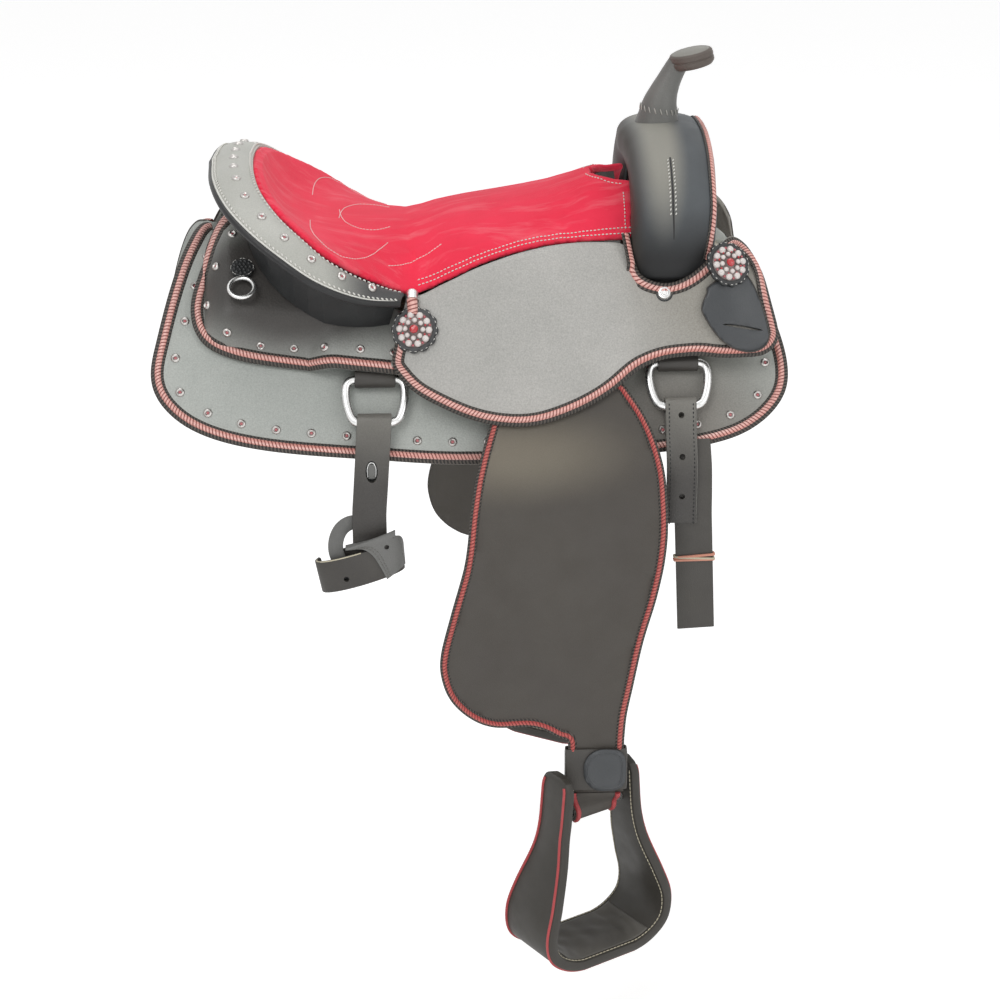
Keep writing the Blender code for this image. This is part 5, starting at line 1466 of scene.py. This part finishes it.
def build_loop(side):
    tag = side_name(side)
    start, bolt, final, outward, radius = loop_frame(side)
    path, across = [], []
    for step in range(8):
        share = step / 7
        path.append(start + Vector((0, 0, -LOOP_LENGTH * share)))
        twist = Matrix.Rotation(side * -LOOP_TURN * smoothstep(share * 1.1), 3, "Z")
        across.append(twist @ FORWARD)
    for step in range(1, 9):
        angle = math.pi * step / 8
        path.append(bolt + outward * radius * math.cos(angle)
                    - Vector((0, 0, radius * math.sin(angle))))
        across.append(final)
    path.append(bolt - outward * radius + Vector((0, 0, 0.01)))
    across.append(final)
    _, points, normals = ribbon("fender_loop_strap_" + tag, FENDER_BROWN, "fender_" + tag, path,
                                LOOP_WIDTH, LOOP_T, across, "fender_loop_" + tag, 80)
    sign = 1.0 if normals[2].dot(outward) > 0 else -1.0
    directions = spline_run(across, 80)
    for index, edge in enumerate((-1, 1)):
        line = [points[step] + directions[step] * edge * (LOOP_WIDTH / 2 - 0.0036)
                + normals[step] * sign * (LOOP_T / 2 - 0.0003) for step in range(50)]
        sweep("loop_cord_%d_%s" % (index, tag), PIPING, "fender_" + tag, "red_suede", line,
              [normals[step] * sign for step in range(50)], arch(-0.0028, 0.0028, 0.0026))


def stirrup_line(count):
    full = STIRRUP_SHAPE + [(-reach, drop) for reach, drop in reversed(STIRRUP_SHAPE[:-1])]
    line = []
    for step in range(count + 1):
        reach, drop = spline(full, step / count)
        line.append((reach, min(drop, STIRRUP_SHAPE[-1][1])))
    return line


def stirrup_width(drop, share):
    wider = smoothstep((drop - 0.01) / 0.1)
    width = STIRRUP_NECK_DEPTH + (STIRRUP_TREAD_DEPTH - STIRRUP_NECK_DEPTH) * wider
    end = min(min(share, 1 - share) / 0.026, 1.0)
    return width - 0.026 * (1 - math.sqrt(1 - (1 - end) ** 2))


def build_stirrup(side):
    tag = side_name(side)
    body = "stirrup_" + tag
    _, bolt, across, _, _ = loop_frame(side)
    face = UP.cross(across).normalized()
    count = 160
    line = stirrup_line(count)
    centre = Vector((0.0, 0.06))
    rings, outer, inner = [], [], []
    for index, (reach, drop) in enumerate(line):
        before, after = line[max(index - 1, 0)], line[min(index + 1, count)]
        direction = Vector((after[0] - before[0], after[1] - before[1])).normalized()
        away = Vector((-direction[1], direction[0]))
        if away.dot(Vector((reach, drop)) - centre) < 0:
            away = -away
        away3 = across * away[0] - UP * away[1]
        point = bolt + across * reach - UP * drop
        width = stirrup_width(drop, index / count)
        wall = STIRRUP_WALL * (0.8 + 0.2 * smoothstep(min(index, count - index) / 5))
        rings.append([point + face * a + away3 * b for a, b in rounded_section(width, wall, 0.003)])
        outer.append((point + away3 * wall / 2, away3, width))
        inner.append((point - away3 * wall / 2, -away3, width))
    loft("stirrup_body_" + tag, STIRRUP_BROWN, body, "brown_leather", rings, "stirrup_" + tag,
         sharp=30)
    for index, edge in enumerate((-1, 1)):
        points = [point + face * edge * (width / 2 - 0.0042) - normal * 0.0002
                  for point, normal, width in outer[2:-2]]
        normals = [normal for point, normal, width in outer[2:-2]]
        sweep("stirrup_piping_%d_%s" % (index, tag), PIPING, body, "red_suede", points, normals,
              arch(-0.0015, 0.0015, 0.0018))
        points = [point + face * edge * (width / 2 - 0.0036)
                  for point, normal, width in inner[3:-3]]
        normals = [normal for point, normal, width in inner[3:-3]]
        stitches("stirrup_thread_%d_%s" % (index, tag), CREAM_THREAD, body, points, normals, 0.0046,
                 0.86, 0.0011)
    tread = [row for row, (reach, drop) in zip(inner, line) if drop > 0.14 and abs(reach) < 0.056]

    def lining(u, v):
        place = u * (len(tread) - 1)
        low = min(int(place), len(tread) - 2)
        first, second = tread[low], tread[low + 1]
        point = first[0].lerp(second[0], place - low)
        normal = first[1].lerp(second[1], place - low).normalized()
        width = first[2] - 0.013
        wrinkle = 0.5 + 0.5 * math.sin(u * 31 + 2.3 * math.sin(v * 5.1)) * math.sin(v * 7 + u * 9)
        fade = min(1.0, 8 * v * (1 - v)) * min(1.0, 10 * u * (1 - u))
        return point + face * (v - 0.5) * width + normal * (0.0006 + 0.0011 * wrinkle * fade)

    grid_piece("tread_lining_" + tag, TREAD, body, "brown_leather", lining, 70, 30,
               UP, 0.0012, offset=-1.0)


# Metal ornaments


def rosette(name, body, place, radius, thickness, scallops, node):
    """Leather rosette with a scalloped, bevelled edge and a pale thread in each scallop."""
    steps = scallops * 8
    rings = []
    for height, shrink in ((0.0, 0.0), (thickness * 0.65, 0.0), (thickness, 0.0009),
                           (thickness, 0.004)):
        ring = []
        for index, (cosine, sine) in enumerate(circle(steps)):
            lobe = abs(math.cos(math.pi * index * scallops / steps))
            reach = radius * (0.9 + 0.1 * lobe) - shrink
            ring.append(place @ Vector((reach * cosine, reach * sine, height)))
        rings.append(ring)
    loft(name, BLACK, body, "black_leather", rings, node, sharp=35)
    places = []
    turn = place.to_3x3()
    for index in range(scallops):
        for shift in (-0.12, 0.12):
            angle = 2 * math.pi * index / scallops + shift
            cosine, sine = math.cos(angle), math.sin(angle)
            point = place @ Vector((radius * 0.93 * cosine, radius * 0.93 * sine, thickness))
            places.append((point, turn @ Vector((-sine, cosine, 0)), turn @ UP))
    capsules(name + "_thread", WHITE_THREAD, body, "black_leather", places, 0.0022, 0.0007, 0.0005)


def build_conchos(side):
    tag = side_name(side)
    for name, (u, v, rise) in (("front", FRONT_CONCHO), ("rear", REAR_CONCHO)):
        place = jockey_place(u, v, side, rise)
        label = "%s_%s" % (name, tag)
        rosette("%s_rosette_leather_%s" % (name, tag), "saddle", place, ROSETTE_R, ROSETTE_T, 12,
                "%s_rosette_%s" % (name, tag))
        top = place @ Matrix.Translation((0, 0, ROSETTE_T + FIT))
        plate = [(0.0, 0.004), (0.0045, 0.004), (0.006, 0.003), (0.0105, 0.0026), (0.015, 0.0014),
                 (CONCHO_R - 0.0012, 0.0008), (CONCHO_R - 0.0006, 0.0), (0.0, 0.0)]
        made = turned("concho_plate_" + label, PLATE, "saddle", "bright_steel", plate, [top], 40)
        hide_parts("%s_concho_%s" % (name, tag))
        for part, finish, count, radius, size, height, phase in (
                ("pearls", PEARL, 10, 0.0146, 0.0036, 0.0016, 0.0),
                ("rim_gems", PINK_GEM, 10, 0.0158, 0.0013, 0.0016, 0.5),
                ("inner_pearls", PEARL, 8, 0.0088, 0.0026, 0.003, 0.0),
                ("inner_gems", RED_GEM, 8, 0.0118, 0.0011, 0.0026, 0.5)):
            places = [top @ Matrix.Translation((x, y, height))
                      for x, y in circle(count, radius, phase=phase)]
            dome = [(0.0, size * 0.9), (size * 0.5, size * 0.78), (size * 0.86, size * 0.44),
                    (size, 0.0), (size * 0.8, -size * 0.5), (0.0, -size * 0.6)]
            turned("concho_%s_%s" % (part, label), finish, "saddle", "bright_steel", dome, places,
                   12, 70)
        heart = [(0.0, 0.0072), (0.0022, 0.0068), (0.004, 0.0052), (0.0046, 0.0036), (0.0, 0.0034)]
        turned("concho_heart_" + label, RED_GEM, "saddle", "red_suede", heart, [top], 8, 20)


def build_small_ring(side):
    tag = side_name(side)
    x, s = SMALL_RING_X, SMALL_RING_S
    lift = rear_jockey_lift(x, s) + JOCKEY_T
    normal = horseback(x, s, 1.0, side) - horseback(x, s, 0.0, side)
    place = place_on(horseback(x, s, lift + 0.0018, side), normal)
    rosette("small_rosette_leather_" + tag, "saddle", place, 0.012, 0.003, 8,
            "small_rosette_" + tag)
    places = [place @ Matrix.Translation((x, y, 0.003))
              for count, radius in ((1, 0.0), (6, 0.004), (11, 0.0078))
              for x, y in circle(count, radius)]
    bead = [(0.0, 0.0018), (0.0012, 0.0014), (0.0017, 0.0), (0.0, -0.0006)]
    turned("small_rosette_beads_" + tag, BLACK, "saddle", "black_leather", bead, places, 8, 80)
    ring = [place @ Vector((sine, cosine - 0.0147 - SMALL_RING_R, 0.0036))
            for cosine, sine in circle(48, SMALL_RING_R)]
    made = tube("small_wire_ring_" + tag, STEEL, "small_ring_" + tag, "bright_steel", ring,
                SMALL_RING_WIRE, True, 12, normal.normalized())
    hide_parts("small_ring_" + tag)


def build_button_and_ferrule(side):
    tag = side_name(side)
    place = jockey_place(0.612, 0.14, side, 0.0)
    profile = [(0.0, 0.0036), (0.002, 0.0036), (0.0024, 0.0028), (0.0036, 0.0028), (0.0044, 0.0036),
               (0.0058, 0.0034), (0.0068, 0.0016), (0.007, 0.0), (0.0, -0.0002)]
    turned("fork_button_" + tag, STEEL, "saddle", "bright_steel", profile, [place], 28)
    collar = [(0.0, 0.0011), (0.008, 0.0009), (0.0084, 0.0), (0.0, -0.0004)]
    turned("fork_button_seat_" + tag, BLACK, "saddle", "black_leather", collar, [place], 28)
    top = jockey_place(0.022, 0.02, side, 0.003)
    low = jockey_place(0.04, 0.25, side, 0.0035)
    line = [top.translation, jockey_place(0.028, 0.1, side, 0.005).translation, low.translation]
    points = spline_run(line, 20)
    up = jockey_place(0.03, 0.1, side, 0.0).to_3x3() @ UP
    tube("saddle_string_" + tag, ROPE, "saddle", "red_suede", points, 0.0052, False, 14, up)
    axis = (points[0] - points[3]).normalized()
    stand = place_on(points[0] - axis * 0.002, axis, Vector((0.3, 0.9, 0.1)))
    ferrule = [(0.0, 0.0105), (0.004, 0.01), (0.0064, 0.0075), (0.0068, 0.0035), (0.0062, 0.001),
               (0.0068, -0.001), (0.0066, -0.003), (0.0, -0.003)]
    turned("ferrule_" + tag, STEEL, "saddle", "bright_steel", ferrule, [stand], 24)


# Seat, roll, swell and horn


def inflate(made, voxel, pressure, cap, smooth=6):
    """Remeshes a pad and lets a short cloth simulation fill it out by at most cap."""
    remesh = made.modifiers.new("remesh", "REMESH")
    remesh.mode = "VOXEL"
    remesh.voxel_size = voxel
    settle = made.modifiers.new("settle", "SMOOTH")
    settle.iterations = smooth
    settle.factor = 0.5
    hug = made.modifiers.new("hug", "SHRINKWRAP")
    hug.target = NODES["seat"]
    hug.wrap_method = "NEAREST_SURFACEPOINT"
    soften = made.modifiers.new("soften", "SMOOTH")
    soften.iterations = 2
    soften.factor = 0.4
    fuller = made.modifiers.new("fuller", "DISPLACE")
    fuller.strength = 0.0018
    fuller.mid_level = 0.0
    bake(made)
    start = [vert.co.copy() for vert in made.data.vertices]
    cloth = made.modifiers.new("cloth", "CLOTH")
    cloth.settings.quality = 4
    cloth.settings.mass = 0.3
    cloth.settings.tension_stiffness = 25
    cloth.settings.compression_stiffness = 25
    cloth.settings.bending_stiffness = 1.5
    cloth.settings.use_pressure = True
    cloth.settings.uniform_pressure_force = pressure
    cloth.settings.effector_weights.gravity = 0.0
    cloth.collision_settings.use_collision = False
    cloth.point_cache.frame_start = 1
    cloth.point_cache.frame_end = 20
    scene = bpy.context.scene
    for number in range(1, 21):
        scene.frame_set(number)
    graph = bpy.context.evaluated_depsgraph_get()
    puffed = made.evaluated_get(graph).to_mesh()
    moved = [vert.co.copy() for vert in puffed.vertices]
    made.evaluated_get(graph).to_mesh_clear()
    made.modifiers.clear()
    scene.frame_set(1)
    for vert, old, new in zip(made.data.vertices, start, moved):
        step = new - old
        if step.length > cap:
            step = step.normalized() * cap
        vert.co = old + step
    made.data.update()
    made.data.shade_smooth()


def build_seat():
    mesh = NODES["seat"].data.copy()
    mesh.materials.clear()
    made = add_piece("suede_seat", mesh, RED, "saddle", "red_suede")
    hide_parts("seat")
    inflate(made, 0.0028, 4.0, 0.0022)
    more = made.modifiers.new("finer", "SUBSURF")
    more.levels = 1
    more.render_levels = 1
    for vert in made.data.vertices:
        vert.co = forward(vert.co)
    bpy.context.view_layer.update()
    tree = BVHTree.FromObject(made, bpy.context.evaluated_depsgraph_get())
    facing = UP
    for side in (-1, 1):
        tag = side_name(side)
        for index, across in enumerate((0.966, 0.925)):
            run = [(0.012 + 0.435 * step / 120, (across * side + 1) / 2) for step in range(121)]
            seat_stitches("seat_seam_%d_%s" % (index, tag), run, facing, tree)
        run = [(0.026, (side * (0.6 + 0.325 * step / 20) + 1) / 2) for step in range(21)]
        seat_stitches("seat_front_stitch_" + tag, run, facing, tree)
        for index, places in enumerate(SEAT_STROKES):
            run = [(u, (-side * w + 1) / 2)
                   for u, w in (spline(places, step / 60) for step in range(61))]
            points, normals = run_on(lambda u, v: seat_point(u, 2 * v - 1), run, facing, 0.002)
            points = laid_on(tree, points, 0.0001)
            stitches("seat_stroke_%d_%s" % (index, tag), PALE_THREAD, "saddle", points, normals,
                     0.0036, 0.86, 0.0011, slot="red_suede")
        curve = []
        for step in range(24):
            angle = math.radians(112 + 50 * step / 23)
            curve.append(Vector((0.229 + 0.0455 * math.cos(angle),
                                 side * 0.0455 * math.sin(angle))))
        points, normals = [], []
        for x, y in curve:
            u, w = seat_find(x, y)
            normal = surface_normal(lambda a, b: seat_point(a, 2 * b - 1), u, (w + 1) / 2, facing)
            points.append(seat_point(u, w) + normal * 0.002)
            normals.append(normal)
        points = laid_on(tree, points, 0.0002)
        stitches("hand_hole_stitch_" + tag, WHITE_THREAD, "saddle", points, normals, 0.004, 0.7,
                 0.0012, slot="red_suede")


def forward(point):
    """The seat's front, drawn on to meet the swell."""
    return point + Vector((0.0052 * smoothstep((point.x - 0.188) / 0.028), 0, 0))


def laid_on(tree, points, lift):
    """The points moved onto the puffed seat, and off it again by lift."""
    result = []
    for point in points:
        place, normal = tree.find_nearest(forward(point))[:2]
        result.append(place + normal * lift)
    return result


def seat_stitches(name, run, facing, tree):
    points, normals = run_on(lambda u, v: seat_point(u, 2 * v - 1), run, facing, 0.002)
    points = laid_on(tree, points, 0.0002)
    stitches(name, WHITE_THREAD, "saddle", points, normals, 0.004, 0.66, 0.0013, slot="red_suede")


def seat_find(x, y):
    """Seat place (u, w) that lies at x and y."""
    u, w = 0.05, 0.4
    for _ in range(12):
        point = seat_point(u, w)
        miss_x, miss_y = x - point.x, y - point.y
        step = 0.001
        by_u = (seat_point(u + step, w) - point) / step
        by_w = (seat_point(u, w + step) - point) / step
        det = by_u.x * by_w.y - by_w.x * by_u.y
        u = min(max(u + (miss_x * by_w.y - by_w.x * miss_y) / det, 0.0), 1.0)
        w = min(max(w + (by_u.x * miss_y - miss_x * by_u.y) / det, -1.0), 1.0)
    return u, w


def roll_face(u, v):
    return mirrored(lambda t: roll_point(t, v), u)


def build_roll():
    rings = []
    steps = 150
    for step in range(steps + 1):
        u = 0.012 + 0.976 * step / steps
        top = [mirrored(lambda t: roll_point(t, v / 12), u) for v in range(13)]
        under = [mirrored(lambda t: roll_point(t, v / 12, 1.0), u) for v in range(12, -1, -1)]
        rings.append(top + under)
    loft("roll_leather", GREY_SMOOTH, "saddle", "grey_leather", rings, "cantle_roll", sharp=50)
    facing = UP
    for name, across, slant, pitch in (("inner", 0.075, 0.5, 0.0052), ("outer", 0.9, 0.5, 0.0054)):
        run = [(0.02 + 0.96 * step / 300, across) for step in range(301)]
        points, normals = run_on(roll_face, run, facing, 0.0004)
        stitches("roll_%s_stitch" % name, WHITE_THREAD, "saddle", points, normals, pitch, 0.62,
                 0.0019, slant, "grey_leather")
    run = [(0.06 + 0.88 * step / 240, 0.46) for step in range(241)]
    points, normals = run_on(roll_face, run, facing, 0.0002)
    spaced = resample(points, 0.0345)
    eyelets("roll_studs", "saddle",
            [place_on(point, normal, FORWARD)
             for point, normal in zip(spaced, nearest_normals(spaced, points, normals))])
    run = [(0.016 + 0.968 * step / 300, 0.965) for step in range(301)]
    points, normals = run_on(roll_face, run, facing, 0.0002)
    sweep("roll_piping", WHITE_THREAD, "saddle", "grey_leather", points, normals, circle(8, 0.001))
    rim = [mirrored(lambda t: roll_point(t, 1.0, 0.75), 0.014 + 0.972 * step / 200)
           for step in range(201)]
    out = [(after - before).cross(UP).normalized()
           for before, after in zip(rim[:1] + rim, rim[1:] + rim[-1:])]
    sweep("roll_lip", LIP, "saddle", "black_leather", rim, out, circle(12, 0.0036, 0.003))


def build_swell():
    def surface(u, v):
        t = 0.86 * (2 * u - 1)
        return fork_surface(abs(t), 225 - 270 * v, COVER_GAP, -1 if t < 0 else 1)

    grid_piece("swell_leather", SWELL_BLACK, "saddle", "black_leather", surface, 96, 60,
               UP, COVER_T, node="swell_cover")
    grow = COVER_GAP + COVER_T

    def cover(t, angle):
        return fork_surface(abs(t), angle, grow, -1 if t < 0 else 1)

    points, normals = [], []
    for step in range(130):
        t = -0.74 + 1.48 * step / 129
        after = cover(t + 0.01, 30) - cover(t - 0.01, 30)
        normal = (cover(t, 36) - cover(t, 24)).cross(after).normalized()
        if normal.dot(Vector((1, 0.4 * (1 if t > 0 else -1), 0.1))) < 0:
            normal = -normal
        points.append(cover(t, 30))
        normals.append(normal)
    edging("swell_edge", "saddle", points, normals, [FORWARD] * len(points),
           "red_suede", cord=ROPE, width=0.0082, cord_width=0.0066, inset=0.0002, wrap=0.001)
    for side in (-1, 1):
        tag = side_name(side)
        dart = []
        for step in range(40):
            t = 0.26 + 0.38 * step / 39
            dart.append(fork_surface(t, 93, grow, side))
        out = [Vector((0, side, 0.1)).normalized()] * len(dart)
        section = [(0.001, 0.0), (0.0005, 0.0007), (-0.0005, 0.0007), (-0.001, 0.0), (0.0, -0.0008)]
        sweep("swell_dart_" + tag, DARK_THREAD, "saddle", "black_leather", dart, out, section)
        for index, shift in enumerate((-0.0026, 0.0026)):
            row = [point + Vector((shift, side * 0.0004, 0)) for point in dart[1:26]]
            stitches("dart_stitch_%d_%s" % (index, tag), WHITE_THREAD, "saddle", row, out[1:26],
                     0.0042, 0.62, 0.0014, 0.5)


def build_horn():
    rings = []
    count = 40
    for step in range(count + 1):
        x, z = spline(HORN_AXIS, step / count)
        before = spline(HORN_AXIS, max(step - 1, 0) / count)
        after = spline(HORN_AXIS, min(step + 1, count) / count)
        radius = spline([(value, 0.0) for value in HORN_RADII], step / count)[0]
        lean = Vector((after[0] - before[0], 0, after[1] - before[1])).normalized()
        across = Vector((lean.z, 0, -lean.x))
        radius *= 1 + 0.32 * max(0.0, 1 - step / 9) ** 2
        if step == 0:
            x, z = x - lean.x * 0.007, z - lean.z * 0.007
            radius *= 1.28
        rings.append([Vector((x, 0, z)) + across * a + Vector((0, b, 0))
                      for a, b in circle(40, radius)])
    loft("horn_leather", HORN_GREY, "saddle", "black_leather", rings, "horn_neck")
    ring = rings[11]
    middle = centre_of(ring)
    normals = [(point - middle).normalized() for point in ring]
    points = [point + normal * 0.0004 for point, normal in zip(ring, normals)]
    stitches("horn_whip_stitch", DART_THREAD, "saddle", points, normals, 0.006, 1.1, 0.0013, 1.1,
             closed=True)
    place = Matrix.Translation(CAP_CENTRE) @ Matrix.Rotation(-CAP_TILT, 4, "Y")
    half, radius = CAP_T / 2, CAP_R
    wall = [(radius - 0.0004, half - 0.0036), (radius, half - 0.0046), (radius, 0.0012),
            (radius - 0.0008, 0.0004), (radius - 0.0008, -0.0004), (radius, -0.0012),
            (radius, -half + 0.0034), (radius - 0.0006, -half + 0.0022)]
    top = [(0.0, half), (radius - 0.004, half), (radius - 0.0018, half - 0.0006),
           (radius - 0.0004, half - 0.0022)]
    low = [(radius - 0.0026, -half), (0.0, -half)]
    made = turned("horn_cap_leather", CAP_EDGE, "saddle", "black_leather", top + wall + low,
                  [place],
                  64, 30)
    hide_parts("horn_cap")
    disc = [(0.0, half + 0.0004), (radius - 0.0042, half + 0.0004), (radius - 0.003, half - 0.0002),
            (radius - 0.0036, half - 0.0012), (0.0, half - 0.0012)]
    turned("horn_cap_top", CAP_TOP, "saddle", "black_leather", disc, [place], 64, 40)


# Stage


def any_ray(tree, kinds):
    """Socket that is 1 where the ray is of one of these kinds."""
    rays = tree.nodes.new("ShaderNodeLightPath").outputs
    seen = rays[kinds[0]]
    for kind in kinds[1:]:
        either = tree.nodes.new("ShaderNodeMath")
        either.operation = "MAXIMUM"
        tree.links.new(seen, either.inputs[0])
        tree.links.new(rays[kind], either.inputs[1])
        seen = either.outputs[0]
    return seen


def build_world():
    """A white backdrop that lights the saddle much less than it shows."""
    world = bpy.data.worlds.new("studio")
    bpy.context.scene.world = world
    world.use_nodes = True
    tree = world.node_tree
    background = tree.nodes["Background"]
    background.inputs["Color"].default_value = (1.0, 1.0, 1.0, 1.0)
    level = tree.nodes.new("ShaderNodeMapRange")
    tree.links.new(any_ray(tree, ("Is Camera Ray", "Is Glossy Ray", "Is Transmission Ray")),
                   level.inputs["Value"])
    level.inputs["To Min"].default_value = WORLD_LIGHT
    level.inputs["To Max"].default_value = 1.0
    tree.links.new(level.outputs["Result"], background.inputs["Strength"])


def build_floor():
    mesh = bpy.data.meshes.new("floor")
    corners = ((-1, -1), (1, -1), (1, 1), (-1, 1))
    mesh.from_pydata([(x * FLOOR_REACH, y * FLOOR_REACH, FLOOR_HEIGHT) for x, y in corners], [],
                     [(0, 1, 2, 3)])
    floor = bpy.data.objects.new("floor", mesh)
    bpy.context.scene.collection.objects.link(floor)
    paint = bpy.data.materials.new("floor_paint")
    paint.use_nodes = True
    tree = paint.node_tree
    shader = tree.nodes["Principled BSDF"]
    shader.inputs["Base Color"].default_value = (0.93, 0.93, 0.93, 1.0)
    shader.inputs["Roughness"].default_value = 0.9
    glow = tree.nodes.new("ShaderNodeMath")
    glow.operation = "MULTIPLY"
    tree.links.new(any_ray(tree, ("Is Camera Ray", "Is Glossy Ray")), glow.inputs[0])
    glow.inputs[1].default_value = FLOOR_GLOW
    shader.inputs["Emission Color"].default_value = (1.0, 1.0, 1.0, 1.0)
    tree.links.new(glow.outputs[0], shader.inputs["Emission Strength"])
    mesh.materials.append(paint)


def build_lights():
    for name, place, aim, size, power in LAMPS:
        data = bpy.data.lights.new(name, "AREA")
        data.shape = "DISK"
        data.size = size
        data.energy = power
        lamp = bpy.data.objects.new(name, data)
        bpy.context.scene.collection.objects.link(lamp)
        lamp.location = place
        lamp.rotation_euler = (Vector(place) - Vector(aim)).to_track_quat("Z", "Y").to_euler()


def build_camera():
    azimuth, elevation = CAMERA_TURN
    back = Vector((math.sin(azimuth) * math.cos(elevation),
                   -math.cos(azimuth) * math.cos(elevation),
                   math.sin(elevation)))
    data = bpy.data.cameras.new("camera")
    data.lens = CAMERA_LENS
    data.sensor_width = 36
    data.clip_end = 50
    camera = bpy.data.objects.new("camera", data)
    bpy.context.scene.collection.objects.link(camera)
    camera.location = CAMERA_AIM + back * CAMERA_DISTANCE
    camera.rotation_euler = back.to_track_quat("Z", "Y").to_euler()
    bpy.context.scene.camera = camera


NODE_FINISH = {"black_leather": BLACK, "grey_leather": GREY, "brown_leather": STRAP_BROWN,
               "red_suede": RED, "wool": WOOL, "tree_rawhide": WOOD, "bright_steel": STEEL}


def paint_nodes():
    """Gives every carried-over CAD solid the finish of its material slot."""
    for part in frame["record"]["subparts"]:
        node = NODES[part["node"]]
        finish = BLACK if part["node"] == "tree_fork" else NODE_FINISH[part["material_slot"]]
        node.data.materials.clear()
        node.data.materials.append(finish)


paint_nodes()
bpy.context.scene.view_settings.view_transform = "Standard"
build_camera()
build_world()
build_floor()
build_lights()
for side in (-1, 1):
    build_skirt(side)
    build_rear_jockey(side)
    build_seat_jockey(side)
    build_rigging(side)
    build_rear_billet(side)
    build_front_billet(side)
    build_fender(side)
    build_hobble(side)
    build_loop(side)
    build_stirrup(side)
    build_conchos(side)
    build_small_ring(side)
    build_button_and_ferrule(side)
    build_keeper(side)
build_seat()
build_roll()
build_swell()
build_horn()
